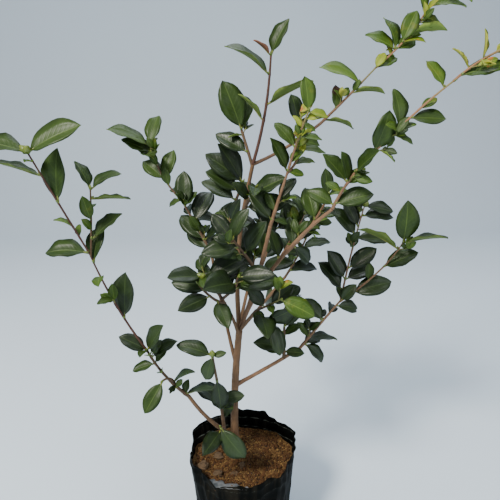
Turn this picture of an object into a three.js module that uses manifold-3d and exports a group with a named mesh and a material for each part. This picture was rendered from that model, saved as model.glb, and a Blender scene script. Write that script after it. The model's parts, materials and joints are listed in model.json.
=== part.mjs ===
// A young camellia shrub in its soft nursery pot, in millimetres, +Z up.
// The origin is the middle of the pot's flat underside.
import * as THREE from "three";
import { mergeVertices } from "three/addons/utils/BufferGeometryUtils.js";
import Module from "manifold-3d";

const wasm = await Module();
wasm.setup();

// Driving dimensions of the pot and its soil.
const potHeight = 88;
const potFootRadius = 43;
const potRimRadius = 49.5;
const potWall = 1.6;
const rimRise = 7; // how much higher the rim stands behind than at its middle
const foldDepth = 0.9; // how deep the soft wall's folds are
const foldCount = 9;
const gussetHeading = 17; // where the stiff corner sticks out of the rim, in degrees
const gussetReach = 4.5;
const gussetWidth = 13; // in degrees
const soilLevel = 77;
const soilHump = 1.6;
const soilSeat = 14; // radius of the flat patch of soil under the trunk
const soilRings = [0.985, 0.75, 0.5, 0.25]; // as shares of the soil's radius
const potSides = 26;
const foldWander = 2; // how far the folds lean round the pot, in radians
const rimRipple = 1.4;
const rimRipples = 5; // how many times the rim rises and falls on its way round
const footBevel = 1.5;
const wallShares = [0.25, 0.5, 0.75, 1]; // where the wall's rings lie, as shares of the soil's level
const lumpLengths = [9, 11, 5]; // how long the soil's swells are in x, in y and aslant
const slantLump = 0.5; // how high the slanting swells are beside the others

// Driving dimensions of the wood.
const clearance = 0.3; // what separate pieces keep between them
const trunkFoot = new THREE.Vector3(-7, 12, soilLevel + clearance);
const flare = 0.75; // how much wider the trunk is at the soil, as a share of its thickness
const flareShare = 0.07; // the share of its length that the flare fades over
const twigTaper = 0.009; // how much a leafy shoot thins with each millimetre
const thinnestTwig = 1.5;
const pathSteps = 12;
const limbRings = 5;
const trunkSides = 10;
const trunkShares = [0, 0.04, 0.1, 0.2, 0.45, 0.75, 1]; // where its rings lie, closer at the flare
const boughSides = 6;
const twigSides = 3;
const lobeDepth = 0.12; // how far the trunk's foot is lobed, as a share of its radius
const trunkLobes = 3;
const stepDown = 0.9; // a shoot's thickness as a share of what it grows from

// Driving dimensions of a leaf, as shares of its length unless said.
const petioleShare = 0.1;
const bladeHalfWidth = 0.25;
const bladeSwell = 0.92; // below 1 the blade is widest nearer its root
const bladeRounding = 0.62; // below 1 the blade's sides are fuller
const leafThickness = 0.7; // in millimetres
const rootHalfWidth = 0.5; // in millimetres, inside the shoot
const foldAngle = 20; // how far each half of the blade is raised from flat, in degrees
const leafMargin = 0.35; // how far a leaf keeps from the ends of its share of the shoot
const sideTurns = { l: 0, lf: 45, f: 90, rf: 135, r: 180, rb: 225, b: 270, lb: 315 }; // in degrees
const turnRange = 24; // how far the turns vary from leaf to leaf
const spreads = { c: 22, w: 76, o: 104, h: 150 }; // between a leaf and its shoot, in degrees
const usualSpread = 46;
const spreadRange = 14;
const rollRange = 36; // in degrees, as are the bends
const narrowRoll = 52; // of a leaf that is seen narrow, away from the front
const leastBend = 8;
const bendRange = 42;
const leafStations = [0, 0.3, 0.72, 1];
const bladeStations = [0.3, 0.72, 1]; // this part has to be clear of the rest of its mass
const turnsTried = [0, 30, -30, 60, -60]; // where a leaf that has no room looks for some
const front = new THREE.Vector3(0, -1, 0);
const light = new THREE.Vector3(0, -0.8, 0.5); // the side that the leaves face
const faceAlong = 0.45; // how much they also face the way their shoot grows
const bladeClearance = 0.1;
const budLength = 7.5;
const budRadius = 2.6;
const budLean = 1.7; // how far two buds lean apart, as a slope
const budSunk = 1;
const budSides = 5;
const budProfile = [[0, 0.35], [0.35, 1], [0.75, 0.8], [1, 0]]; // height and width as shares

// The bare limbs. Each starts on another, at a share of its length, and grows length millimetres on
// a heading round the plant and a climb above level. Over its length the heading turns by veer and
// the climb changes by lift, all in degrees. It is thick across at its foot and thin at its tip.
const limbs = [
  { name: "trunk",
    length: 124, heading: 0, climb: 91, veer: 0, lift: -8, thick: 7.4, thin: 6.2 },
  { name: "low_left_bough", from: "trunk", at: 0.1,
    length: 86, heading: 250, climb: 40, veer: -57, lift: 22, thick: 3.8, thin: 3.2 },
  { name: "right_bough", from: "trunk", at: 0.55,
    length: 71, heading: 18, climb: 20, veer: -4, lift: 7, thick: 4, thin: 3.2 },
  { name: "left_centre_bough", from: "trunk", at: 0.72,
    length: 108, heading: 131, climb: 70, veer: -9, lift: 0, thick: 3.4, thin: 2.8 },
  { name: "left_front_bough", from: "trunk", at: 0.97,
    length: 70, heading: 253, climb: 59, veer: -17, lift: -8, thick: 3.2, thin: 2.6 },
  { name: "centre_front_bough", from: "trunk", at: 1,
    length: 41, heading: 290, climb: 43, veer: 25, lift: 6, thick: 2.8, thin: 2.4 },
  { name: "central_leader", from: "trunk", at: 1,
    length: 152, heading: 130, climb: 87, veer: -163, lift: -11, thick: 4.6, thin: 3.2 },
  { name: "upper_right_bough", from: "central_leader", at: 1,
    length: 74, heading: 31, climb: 16, veer: -19, lift: 21, thick: 3, thin: 2.6 },
  { name: "upright_bough", from: "trunk", at: 1,
    length: 110, heading: 320, climb: 66, veer: -1, lift: 9, thick: 4, thin: 3 },
  { name: "long_right_bough", from: "trunk", at: 1,
    length: 151, heading: 324, climb: 68, veer: 6, lift: -28, thick: 3.8, thin: 2.6 },
  { name: "back_bough", from: "trunk", at: 1,
    length: 60, heading: 80, climb: 40, veer: -19, lift: 16, thick: 3.4, thin: 2.8 },
  { name: "back_right_bough", from: "trunk", at: 1,
    length: 69, heading: 41, climb: 32, veer: -3, lift: 4, thick: 3.2, thin: 2.6 },
];

// The leafy shoots, grown like the limbs. The shoots of one mass are one piece: the first stands on
// a bough and the others branch from it. Past its bare share each bears leaves, and it may end in
// buds. From foot to tip, each node of the shoot has its leaves joined by +, or a dot where they
// have fallen. A leaf has its side of the way that the shoot grows, seen from the front (left,
// right, front or back), its length in millimetres, and c where it lies close along the shoot, w
// where it stands out wide, o where it leans back or h where it hangs. An n marks one that is
// rolled, so that it is seen narrow.
const shoots = [
  { mass: "foot_foliage", name: "foot", from: "low_left_bough", at: 0.3,
    length: 98, heading: 268, climb: 67, veer: -19, lift: 9, bare: 0.15, buds: 1,
    leaves: "r24c . lb38w r22w . . f30h . . l32+lf24h+r12w" },
  { mass: "foot_foliage", name: "foot_low", from: "foot", at: 0.08,
    length: 28, heading: 267, climb: 10, veer: -3, lift: 47, bare: 0.3,
    leaves: "lf32 f36o" },
  { mass: "low_left_foliage", name: "low_left_lower", from: "low_left_bough", at: 1,
    length: 62, heading: 200, climb: 46, veer: 11, lift: 22, bare: 0.02,
    leaves: "r30on+r14 . r24wn . r24c+f12 l20w+r18 r26w+f14 l26c+r30+f16" },
  { mass: "low_left_foliage", name: "low_left_middle", from: "low_left_lower", at: 1,
    length: 96, heading: 207, climb: 61, veer: 4, lift: 12, bare: 0.1,
    leaves: ". . r38c . l9 . f18w r30c l33" },
  { mass: "low_left_foliage", name: "low_left_hanging", from: "low_left_lower", at: 0.3,
    length: 21, heading: 244, climb: 76, veer: -2, lift: -75, bare: 0.4,
    leaves: "l30" },
  { mass: "low_left_foliage", name: "low_left_tip", from: "low_left_middle", at: 1,
    length: 84, heading: 229, climb: 64, veer: 3, lift: 0, bare: 0.1, buds: 2,
    leaves: "b12 l14cn . r38c b12 l30n f10 r40w+l34" },
  { mass: "low_left_foliage", name: "low_left_upright", from: "low_left_middle", at: 0.97,
    length: 49, heading: 42, climb: 83, veer: 43, lift: -1, bare: 0.15,
    leaves: "r30 f12 l19c b12 r29wn r26+l24cn" },
  { mass: "right_inner_foliage", name: "right_inner", from: "right_bough", at: 0.75,
    length: 31, heading: 71, climb: 92, veer: 16, lift: -11, bare: 0.15,
    leaves: "r20w+l18w l30w . r20 l24w rf30c+r24" },
  { mass: "right_foliage", name: "right_lower", from: "right_bough", at: 1,
    length: 61, heading: 25, climb: 43, veer: -10, lift: 3, bare: 0,
    leaves: "r40cn+r34+r30w l20w . l28w b24 r28 l18+f24" },
  { mass: "right_foliage", name: "right_upright", from: "right_lower", at: 1,
    length: 94, heading: 19, climb: 80, veer: 1, lift: -7, bare: 0.05, buds: 2,
    leaves: "l38 l34+r32 r34 . b20 l34+r34w l30 r32w r30w+l14" },
  { mass: "right_foliage", name: "right_tip", from: "right_lower", at: 0.97,
    length: 87, heading: 356, climb: 37, veer: -47, lift: 23, bare: 0.1,
    leaves: "r40c b16 l18 . r34c . l42wn l40c+r38n" },
  { mass: "left_centre_foliage", name: "left_centre_lower", from: "left_centre_bough", at: 1,
    length: 56, heading: 149, climb: 57, veer: 12, lift: 2, bare: 0, buds: 1,
    leaves: "l32c+r34w l38c+r32w f20 r38 b22 f18+r18w+r34c l16w" },
  { mass: "left_centre_foliage", name: "left_centre_upper", from: "left_centre_lower", at: 1,
    length: 59, heading: 168, climb: 44, veer: -25, lift: 28, bare: 0.1,
    leaves: "b14 r18c l30c+r30 . f16 l30c+f28w l30 r34c+l42" },
  { mass: "left_front_foliage", name: "left_front", from: "left_front_bough", at: 1,
    length: 21, heading: 241, climb: 56, veer: -11, lift: -21, bare: 0.1, buds: 2,
    leaves: "l34+b22 r36w l30c+f18" },
  { mass: "left_front_side_foliage", name: "left_front_side", from: "left_front_bough", at: 0.7,
    length: 45, heading: 248, climb: 23, veer: -23, lift: 32, bare: 0.2,
    leaves: "f30w l30 r26 l26c" },
  { mass: "left_front_inner_foliage", name: "left_front_inner", from: "left_front_bough", at: 0.8,
    length: 42, heading: 299, climb: 29, veer: -1, lift: 26, bare: 0.2,
    leaves: "l36w r44w l40 r30" },
  { mass: "centre_front_foliage", name: "centre_front", from: "centre_front_bough", at: 1,
    length: 38, heading: 307, climb: 30, veer: -1, lift: 3, bare: 0,
    leaves: "f18 l22w b26c+f14 . r31" },
  { mass: "centre_front_foliage", name: "centre_front_low", from: "centre_front", at: 0.1,
    length: 18, heading: 296, climb: -44, veer: 35, lift: 35, bare: 0.1,
    leaves: "f36 l30 r28" },
  { mass: "centre_left_foliage", name: "centre_left", from: "upright_bough", at: 0.55,
    length: 61, heading: 265, climb: 40, veer: -45, lift: 10, bare: 0.1,
    leaves: "r34 l34 . r34 l30 b26+r28" },
  { mass: "centre_right_foliage", name: "centre_right", from: "upright_bough", at: 0.5,
    length: 59, heading: 58, climb: 52, veer: -16, lift: 8, bare: 0.1,
    leaves: "r32 l30c . l34 r30+b28 r30c" },
  { mass: "inner_low_foliage", name: "inner_low", from: "central_leader", at: 0.35,
    length: 60, heading: 99, climb: 26, veer: 41, lift: 34, bare: 0.1,
    leaves: "l32 r34 l34 f30 r30 l28" },
  { mass: "inner_left_foliage", name: "inner_left", from: "central_leader", at: 0.42,
    length: 76, heading: 156, climb: 61, veer: -170, lift: 7, bare: 0.3,
    leaves: "r26 f24 . l36w l36w l42w+l42" },
  { mass: "leader_twig_foliage", name: "leader_twig", from: "central_leader", at: 0.99,
    length: 32, heading: 137, climb: 69, veer: -5, lift: -4, bare: 0.3,
    leaves: "l34 f12 . l14wn r34c+f44c" },
  { mass: "leader_low_foliage", name: "leader_low", from: "central_leader", at: 0.72,
    length: 35, heading: 281, climb: 38, veer: 32, lift: 13, bare: 0.1,
    leaves: "r38 l24 r34c f26" },
  { mass: "tall_foliage", name: "tall", from: "central_leader", at: 1,
    length: 88, heading: 338, climb: 71, veer: -54, lift: 8, bare: 0.2,
    leaves: "r14c . l30n . r42n . . l42n . r30c+l18n" },
  { mass: "upper_right_side_foliage", name: "upper_right_side", from: "upper_right_bough", at: 0.55,
    length: 21, heading: 289, climb: 50, veer: 17, lift: 12, bare: 0.2,
    leaves: "r24w l14c . b12 l26c+r16w" },
  { mass: "upper_right_foliage", name: "upper_right_middle", from: "upper_right_bough", at: 1,
    length: 66, heading: 9, climb: 42, veer: 0, lift: 3, bare: 0,
    leaves: "r28n l22 . r30cn+f12 l40o . r24c+l16c" },
  { mass: "upper_right_foliage", name: "upper_right_tip", from: "upper_right_middle", at: 1,
    length: 83, heading: 6, climb: 37, veer: 1, lift: 26, bare: 0.05,
    leaves: "r14c l12 l30o+l34+r26c l30c+f20 r34cn l22+b16 r26 l36+f14 r36 l26 r30w+l30w+f18" },
  { mass: "upright_foliage", name: "upright_middle", from: "upright_bough", at: 1,
    length: 46, heading: 337, climb: 72, veer: 13, lift: 0, bare: 0,
    leaves: "l30+r14w l18 r24c b12 . l30+r14w" },
  { mass: "upright_foliage", name: "upright_tip", from: "upright_middle", at: 1,
    length: 48, heading: 343, climb: 74, veer: 2, lift: -6, bare: 0.05,
    leaves: "r16c . l26 r18w f14c+l12 r16 l26c+r16w" },
  { mass: "upright_foliage", name: "upright_side", from: "upright_middle", at: 0.98,
    length: 29, heading: 31, climb: 35, veer: 28, lift: 34, bare: 0.2,
    leaves: "r20 l16c r22w f14" },
  { mass: "long_right_side_foliage", name: "long_right_side", from: "long_right_bough", at: 0.62,
    length: 60, heading: 17, climb: 38, veer: -44, lift: 32, bare: 0.1,
    leaves: "r26w+l26 . f16 l30 f22 . l22c+r18" },
  { mass: "long_right_inner_foliage", name: "long_right_inner", from: "long_right_bough", at: 0.45,
    length: 60, heading: 29, climb: 45, veer: 4, lift: 16, bare: 0.2,
    leaves: "l30 r24 f30 . l26 b24 r24+l24" },
  { mass: "long_right_foliage", name: "long_right_middle", from: "long_right_bough", at: 1,
    length: 71, heading: 312, climb: 63, veer: 36, lift: -22, bare: 0,
    leaves: "r30+l24w l14w l28w+l25+r18c f29c . l31c . ." },
  { mass: "long_right_foliage", name: "long_right_outer", from: "long_right_middle", at: 1,
    length: 49, heading: 336, climb: 49, veer: 1, lift: -11, bare: 0,
    leaves: "l28+lf14w+r12c r24 l10c+r14c . l22w ." },
  { mass: "long_right_foliage", name: "long_right_tip", from: "long_right_outer", at: 1,
    length: 36, heading: 332, climb: 44, veer: 8, lift: -23, bare: 0,
    leaves: "r28c l17wn l18n r14c+b12 l18c+r18c+f12" },
  { mass: "back_foliage", name: "back", from: "back_bough", at: 1,
    length: 69, heading: 79, climb: 50, veer: -16, lift: 21, bare: 0,
    leaves: "l34 r36 b32 l36 r32 f28 b30 l32" },
  { mass: "back_left_foliage", name: "back_left", from: "back_bough", at: 0.8,
    length: 65, heading: 105, climb: 40, veer: 39, lift: 13, bare: 0.2,
    leaves: "l36 r32 b34 l34 f28 r30" },
  { mass: "back_right_foliage", name: "back_right", from: "back_right_bough", at: 1,
    length: 69, heading: 44, climb: 39, veer: 3, lift: 21, bare: 0.05,
    leaves: "r36 l32 b34 r34 l30 f26 b30 r28" },
  { mass: "back_low_foliage", name: "back_low", from: "back_right_bough", at: 0.7,
    length: 41, heading: 68, climb: -52, veer: -40, lift: 66, bare: 0.1,
    leaves: "r30 b32 l28 f26 r28 b26" },
];

// The seeded draws: each state is the last one times a factor, plus a step, within a range.
const seedFactor = 7919;
const seedStep = 12345;
const drawFactor = 1664525;
const drawStep = 1013904223;
const drawRange = 2 ** 32;

const radians = (degrees) => (degrees * Math.PI) / 180;
const up = new THREE.Vector3(0, 0, 1);
const weldReach = 1e-4; // corners closer than this are one

// Seeded draws between 0 and 1.
function drawsFrom(seed) {
  let state = seed * seedFactor + seedStep;
  const draw = () => {
    state = (state * drawFactor + drawStep) % drawRange;
    return state / drawRange;
  };
  draw();
  draw();
  return draw;
}

// A limb's middle line: equal steps whose heading and climb change evenly.
function growPath(start, limb) {
  const path = [start.clone()];
  for (let step = 0; step < pathSteps; step += 1) {
    const share = (step + 0.5) / pathSteps;
    const heading = radians(limb.heading + limb.veer * share);
    const climb = radians(limb.climb + limb.lift * share);
    const way = new THREE.Vector3(
      Math.cos(climb) * Math.cos(heading),
      Math.cos(climb) * Math.sin(heading),
      Math.sin(climb),
    );
    path.push(path[step].clone().addScaledVector(way, limb.length / pathSteps));
  }
  return path;
}

function placeOn(path, share) {
  const reach = share * (path.length - 1);
  const index = Math.min(Math.floor(reach), path.length - 2);
  const way = path[index + 1].clone().sub(path[index]);
  return {
    point: path[index].clone().addScaledVector(way, reach - index),
    way: way.clone().normalize(),
  };
}

// A closed body through rings that all have the same number of points. A ring of one point is a
// pole, and any other end ring is closed flat.
function loft(rings) {
  const sides = Math.max(...rings.map((ring) => ring.length));
  const corner = (ring, side) => (ring.length === 1 ? ring[0] : ring[side % sides]);
  const corners = [];
  const face = (...points) => {
    for (const point of points) corners.push(point.x, point.y, point.z);
  };
  for (let index = 0; index + 1 < rings.length; index += 1) {
    for (let side = 0; side < sides; side += 1) {
      const low = rings[index];
      const high = rings[index + 1];
      if (low.length > 1) face(corner(low, side), corner(low, side + 1), corner(high, side));
      if (high.length > 1) face(corner(low, side + 1), corner(high, side + 1), corner(high, side));
    }
  }
  const first = rings[0];
  const last = rings[rings.length - 1];
  for (let side = 1; side + 1 < sides; side += 1) {
    if (first.length > 1) face(first[0], first[side + 1], first[side]);
    if (last.length > 1) face(last[0], last[side], last[side + 1]);
  }
  const geometry = new THREE.BufferGeometry();
  geometry.setAttribute("position", new THREE.Float32BufferAttribute(corners, 3));
  return geometry;
}

// A geometry as a solid that can be joined and cut, and back again.
function solidOf(geometry) {
  const merged = mergeVertices(geometry, weldReach);
  return new wasm.Manifold(new wasm.Mesh({
    numProp: 3,
    vertProperties: merged.attributes.position.array,
    triVerts: new Uint32Array(merged.index.array),
  }));
}

function geometryOf(solid) {
  const mesh = solid.getMesh();
  const geometry = new THREE.BufferGeometry();
  geometry.setAttribute("position", new THREE.Float32BufferAttribute(mesh.vertProperties, 3));
  geometry.setIndex(Array.from(mesh.triVerts));
  return geometry;
}

// Only the largest piece of a solid that was cut, without its loose scraps.
function largestPiece(solid) {
  const pieces = solid.decompose();
  return pieces.reduce((best, piece) => (piece.volume() > best.volume() ? piece : best));
}

// A round limb that follows its path, swollen on every side by grown. Its few sides enclose as much
// as the circle that they stand for.
function limbSolid(limb, sides, grown) {
  const sameArea = Math.sqrt((2 * Math.PI) / (sides * Math.sin((2 * Math.PI) / sides)));
  const rings = Array.from({ length: limbRings + 1 }, (_, index) => {
    const share = index / limbRings;
    const { point, way } = placeOn(limb.path, share);
    const across = new THREE.Vector3().crossVectors(way, up).normalize();
    const outward = new THREE.Vector3().crossVectors(way, across);
    const radius = limbRadius(limb, share) * sameArea + grown;
    const slide = index === 0 ? -grown : index === limbRings ? grown : 0;
    const middle = point.addScaledVector(way, slide);
    return ringOf(sides, (angle) => middle.clone()
      .addScaledVector(across, radius * Math.cos(angle))
      .addScaledVector(outward, radius * Math.sin(angle)));
  });
  return solidOf(loft(rings));
}

// The trunk's rings lie level, so that it stands on a flat cut, and its foot flares in three lobes.
function trunkSolid(limb, grown) {
  const rings = trunkShares.map((share) => {
    const { point } = placeOn(limb.path, share);
    const fade = Math.exp(-share / flareShare);
    const radius = limbRadius(limb, share) * (1 + flare * fade) + grown;
    const height = point.z + (share === 1 ? grown : 0);
    return ringOf(trunkSides, (angle) => {
      const reach = radius * (1 + lobeDepth * fade * Math.cos(trunkLobes * angle + 1));
      return new THREE.Vector3(
        point.x + reach * Math.cos(angle),
        point.y + reach * Math.sin(angle),
        height,
      );
    });
  });
  return solidOf(loft(rings));
}

const limbRadius = (limb, share) => (limb.thick + (limb.thin - limb.thick) * share) / 2;

function ringOf(sides, pointAt) {
  return Array.from({ length: sides }, (_, side) => pointAt((2 * Math.PI * side) / sides));
}

// How wide a leaf is at a share of its length: an oval with a drawn-out tip on a short stalk.
function leafHalfWidth(leaf, station) {
  const blade = Math.max(0, (station - petioleShare) / (1 - petioleShare));
  const oval = blade < 1 ? Math.sin(Math.PI * blade ** bladeSwell) ** bladeRounding : 0;
  return Math.max(rootHalfWidth, oval * bladeHalfWidth * leaf.size);
}

// A leaf: folded along its midrib, which bends back evenly from its root to its tip.
function leafSolid(leaf, stations, grown) {
  const bend = radians(leaf.droop);
  const fold = radians(foldAngle);
  const across = new THREE.Vector3().crossVectors(leaf.face, leaf.way);
  const rings = stations.map((station) => {
    const angle = bend * station;
    const middle = leaf.root.clone()
      .addScaledVector(leaf.way, (leaf.size / bend) * Math.sin(angle))
      .addScaledVector(leaf.face, (leaf.size / bend) * (Math.cos(angle) - 1));
    if (station === 1) return [middle];
    const face = leaf.face.clone().multiplyScalar(Math.cos(angle))
      .addScaledVector(leaf.way, Math.sin(angle));
    const halfWidth = leafHalfWidth(leaf, station) + grown;
    const halfThickness = leafThickness / 2 + grown;
    const point = (sideways, raised) => middle.clone()
      .addScaledVector(across, sideways)
      .addScaledVector(face, raised);
    return [
      point(halfWidth * Math.cos(fold), halfWidth * Math.sin(fold)),
      point(0, halfThickness),
      point(-halfWidth * Math.cos(fold), halfWidth * Math.sin(fold)),
      point(0, -halfThickness),
    ];
  });
  return solidOf(loft(rings));
}

// A shoot's leaves. Its nodes are spaced evenly, and each leaf is varied by five draws, for its
// place, turn, spread, roll and bend.
function leavesOf(shoot, seed) {
  const draw = drawsFrom(seed);
  const nodes = shoot.leaves.split(" ");
  const plan = nodes.flatMap((node, index) => node.split("+").map((entry) => [entry, index]));
  return plan.filter(([entry]) => entry !== ".").map(([entry, index]) => {
    const [, side, size, set, narrow] = /^([a-z]+)(\d+)([cwoh]?)(n?)$/.exec(entry);
    const [place, turned, spread, rolled, bent] = Array.from({ length: 5 }, draw);
    const away = side.startsWith("l") ? -narrowRoll : narrowRoll;
    const own = leafMargin + (1 - 2 * leafMargin) * place;
    const reach = (index + own) / (nodes.length - 2 * leafMargin);
    return {
      share: shoot.bare + (1 - shoot.bare) * Math.min(1, reach),
      turn: sideTurns[side] + turnRange * (turned - 0.5),
      spread: (spreads[set] ?? usualSpread) + spreadRange * (spread - 0.5),
      size: Number(size),
      roll: (narrow ? away : 0) + rollRange * (rolled - 0.5),
      droop: leastBend + bendRange * bent,
    };
  });
}

// A leaf set on its shoot: the way it points, and its face turned to the light and then rolled.
function setLeaf(shoot, leaf, extraTurn) {
  const { point, way } = placeOn(shoot.path, leaf.share);
  const left = new THREE.Vector3().crossVectors(front, way).normalize();
  const near = new THREE.Vector3().crossVectors(way, left);
  const turn = radians(leaf.turn + extraTurn);
  const spread = radians(leaf.spread);
  const aside = left.multiplyScalar(Math.cos(turn)).addScaledVector(near, Math.sin(turn));
  const leafWay = way.clone().multiplyScalar(Math.cos(spread))
    .addScaledVector(aside, Math.sin(spread));
  const lit = way.clone().multiplyScalar(faceAlong).add(light);
  lit.addScaledVector(leafWay, -lit.dot(leafWay)).normalize();
  const across = new THREE.Vector3().crossVectors(lit, leafWay);
  const roll = radians(leaf.roll);
  const face = lit.multiplyScalar(Math.cos(roll)).addScaledVector(across, Math.sin(roll));
  return { ...leaf, root: point, way: leafWay, face };
}

// The buds at a shoot's tip, each a plump oval sunk into the wood and leaning its own way.
function budSolids(shoot) {
  const { point, way } = placeOn(shoot.path, 1);
  const level = new THREE.Vector3().crossVectors(up, way).normalize();
  return Array.from({ length: shoot.buds ?? 0 }, (_, index) => {
    const lean = shoot.buds > 1 ? (index - 0.5) * budLean : 0;
    const budWay = way.clone().addScaledVector(level, lean).normalize();
    const across = new THREE.Vector3().crossVectors(budWay, up).normalize();
    const outward = new THREE.Vector3().crossVectors(budWay, across);
    const rings = budProfile.map(([height, width]) => {
      const middle = point.clone().addScaledVector(budWay, height * budLength - budSunk);
      if (width === 0) return [middle];
      return ringOf(budSides, (angle) => middle.clone()
        .addScaledVector(across, width * budRadius * Math.cos(angle))
        .addScaledVector(outward, width * budRadius * Math.sin(angle)));
    });
    return solidOf(loft(rings));
  });
}

// Where a piece has room: clear of every solid in a list whose box it reaches.
function isClear(piece, solids) {
  const box = piece.boundingBox();
  return solids.every((solid) => {
    const other = solid.boundingBox();
    const apart = [0, 1, 2].some((axis) => (
      box.min[axis] > other.max[axis] || box.max[axis] < other.min[axis]
    ));
    return apart || piece.intersect(solid).isEmpty();
  });
}

// The bare limbs, each cut clear of those before it.
function growLimbs() {
  const grown = new Map();
  for (const limb of limbs) {
    const parent = grown.get(limb.from);
    limb.path = growPath(parent ? placeOn(parent.path, limb.at).point : trunkFoot, limb);
    const shapeOf = (swell) => (parent ? limbSolid(limb, boughSides, swell) : trunkSolid(limb, swell));
    let solid = shapeOf(0);
    for (const other of grown.values()) solid = solid.subtract(other.swollen);
    grown.set(limb.name, { ...limb, solid: largestPiece(solid), swollen: shapeOf(clearance) });
  }
  return grown;
}

// The stems of the masses: a mass's shoots joined, and cut clear of the limbs and other stems.
function growStems(grown) {
  const masses = new Map();
  const shootsByName = new Map(grown);
  for (const shoot of shoots) {
    const parent = shootsByName.get(shoot.from);
    const { point } = placeOn(parent.path, shoot.at);
    shoot.path = growPath(point, shoot);
    shoot.thick = Math.max(thinnestTwig, 2 * limbRadius(parent, shoot.at) * stepDown);
    shoot.thin = Math.max(thinnestTwig, shoot.thick - twigTaper * shoot.length);
    shootsByName.set(shoot.name, shoot);
    const mass = masses.get(shoot.mass) ?? { shoots: [] };
    const stem = limbSolid(shoot, twigSides, 0);
    const swollen = limbSolid(shoot, twigSides, clearance);
    mass.stem = mass.stem ? mass.stem.add(stem) : stem;
    mass.swollen = mass.swollen ? mass.swollen.add(swollen) : swollen;
    mass.shoots.push(shoot);
    masses.set(shoot.mass, mass);
  }
  const before = [...grown.values()].map((limb) => limb.swollen);
  for (const mass of masses.values()) {
    for (const other of before) mass.stem = mass.stem.subtract(other);
    mass.stem = largestPiece(mass.stem);
    before.push(mass.swollen);
  }
  return masses;
}

// The leaves and buds are fused to their stem where they are clear of every other piece, and where
// the blade is clear of its own mass.
function growFoliage(grown, masses) {
  const limbSolids = [...grown.values()].map((limb) => limb.solid);
  for (const mass of masses.values()) mass.solid = mass.stem;
  for (const mass of masses.values()) {
    const others = [...masses.values()].filter((other) => other !== mass).map((other) => other.solid);
    const neighbours = [...limbSolids, ...others];
    for (const shoot of mass.shoots) {
      for (const bud of budSolids(shoot)) {
        if (isClear(bud, neighbours)) mass.solid = mass.solid.add(bud);
      }
      for (const leaf of leavesOf(shoot, shoots.indexOf(shoot) + 1)) {
        for (const extraTurn of turnsTried) {
          const placed = setLeaf(shoot, leaf, extraTurn);
          const roomy = isClear(leafSolid(placed, leafStations, clearance), neighbours);
          if (roomy && isClear(leafSolid(placed, bladeStations, bladeClearance), [mass.solid])) {
            mass.solid = mass.solid.add(leafSolid(placed, leafStations, 0));
            break;
          }
        }
      }
    }
    mass.solid = largestPiece(mass.solid);
  }
}

// The pot's wall: it widens upwards, with soft folds and one stiff corner near the rim.
function wallRadius(angle, height) {
  const share = height / potHeight;
  const folds = foldDepth * share * Math.sin(foldCount * angle + foldWander * share);
  const offCorner = Math.atan2(
    Math.sin(angle - radians(gussetHeading)),
    Math.cos(angle - radians(gussetHeading)),
  );
  const corner = gussetReach * share ** 2 * Math.exp(-((offCorner / radians(gussetWidth)) ** 2));
  return potFootRadius + (potRimRadius - potFootRadius) * share + folds + corner;
}

function rimHeight(angle) {
  return potHeight + rimRise * Math.sin(angle) + rimRipple * Math.sin(rimRipples * angle + 1);
}

const wallLevels = wallShares.map((share) => share * soilLevel);

function potRing(inset, heightAt) {
  return ringOf(potSides, (angle) => {
    const height = heightAt(angle);
    const radius = wallRadius(angle, height) - inset;
    return new THREE.Vector3(radius * Math.cos(angle), radius * Math.sin(angle), height);
  });
}

function potSolid() {
  const outside = [
    [new THREE.Vector3(0, 0, 0)],
    potRing(footBevel, () => 0),
    potRing(0, () => footBevel),
    ...wallLevels.map((level) => potRing(0, () => level)),
    potRing(0, rimHeight),
  ];
  const inside = [
    potRing(potWall, rimHeight),
    ...[...wallLevels].reverse().map((level) => potRing(potWall, () => level)),
    potRing(potWall, () => potWall),
    [new THREE.Vector3(0, 0, potWall)],
  ];
  return solidOf(loft([...outside, ...inside]));
}

// The soil fills the pot to its level, lumpy on top but flat where the trunk stands.
function soilHeight(x, y) {
  const [lengthX, lengthY, slant] = lumpLengths;
  const swells = Math.sin(x / lengthX + 1) * Math.cos(y / lengthY);
  const lumps = swells + slantLump * Math.sin((x + y) / slant);
  const away = Math.hypot(x - trunkFoot.x, y - trunkFoot.y) - soilSeat;
  return soilLevel + soilHump * (lumps - 1) * Math.min(1, Math.max(0, away / soilSeat));
}

function soilSolid() {
  const inset = potWall + clearance;
  const side = [
    [new THREE.Vector3(0, 0, inset)],
    potRing(inset, () => inset),
    ...wallLevels.slice(0, -1).map((level) => potRing(inset, () => level)),
  ];
  const top = soilRings.map((share) => potRing(inset, () => soilLevel).map((point) => {
    const [x, y] = [point.x * share, point.y * share];
    return new THREE.Vector3(x, y, soilHeight(x, y));
  }));
  return solidOf(loft([...side, ...top, [new THREE.Vector3(0, 0, soilHeight(0, 0))]]));
}

const dullMaterial = (color, roughness) => (
  new THREE.MeshStandardMaterial({ color, roughness, metalness: 0 })
);
const barkMaterial = () => dullMaterial(0x8a705a, 0.85);
const leafMaterial = () => dullMaterial(0x3f5f3a, 0.45);
const potMaterial = () => dullMaterial(0x17181a, 0.4);
const soilMaterial = () => dullMaterial(0x6b4630, 1);

const group = new THREE.Group();

function addPiece(name, solid, material) {
  const mesh = new THREE.Mesh(geometryOf(solid), material);
  mesh.name = name;
  group.add(mesh);
}

const grownLimbs = growLimbs();
const foliage = growStems(grownLimbs);
growFoliage(grownLimbs, foliage);

addPiece("nursery_pot", potSolid(), potMaterial());
addPiece("potting_soil", soilSolid(), soilMaterial());
for (const [name, limb] of grownLimbs) addPiece(name, limb.solid, barkMaterial());
for (const [name, mass] of foliage) addPiece(name, mass.solid, leafMaterial());

export default group;
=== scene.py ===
import json
import re
import bpy
import numpy as np
from mathutils import Matrix, Vector

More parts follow.
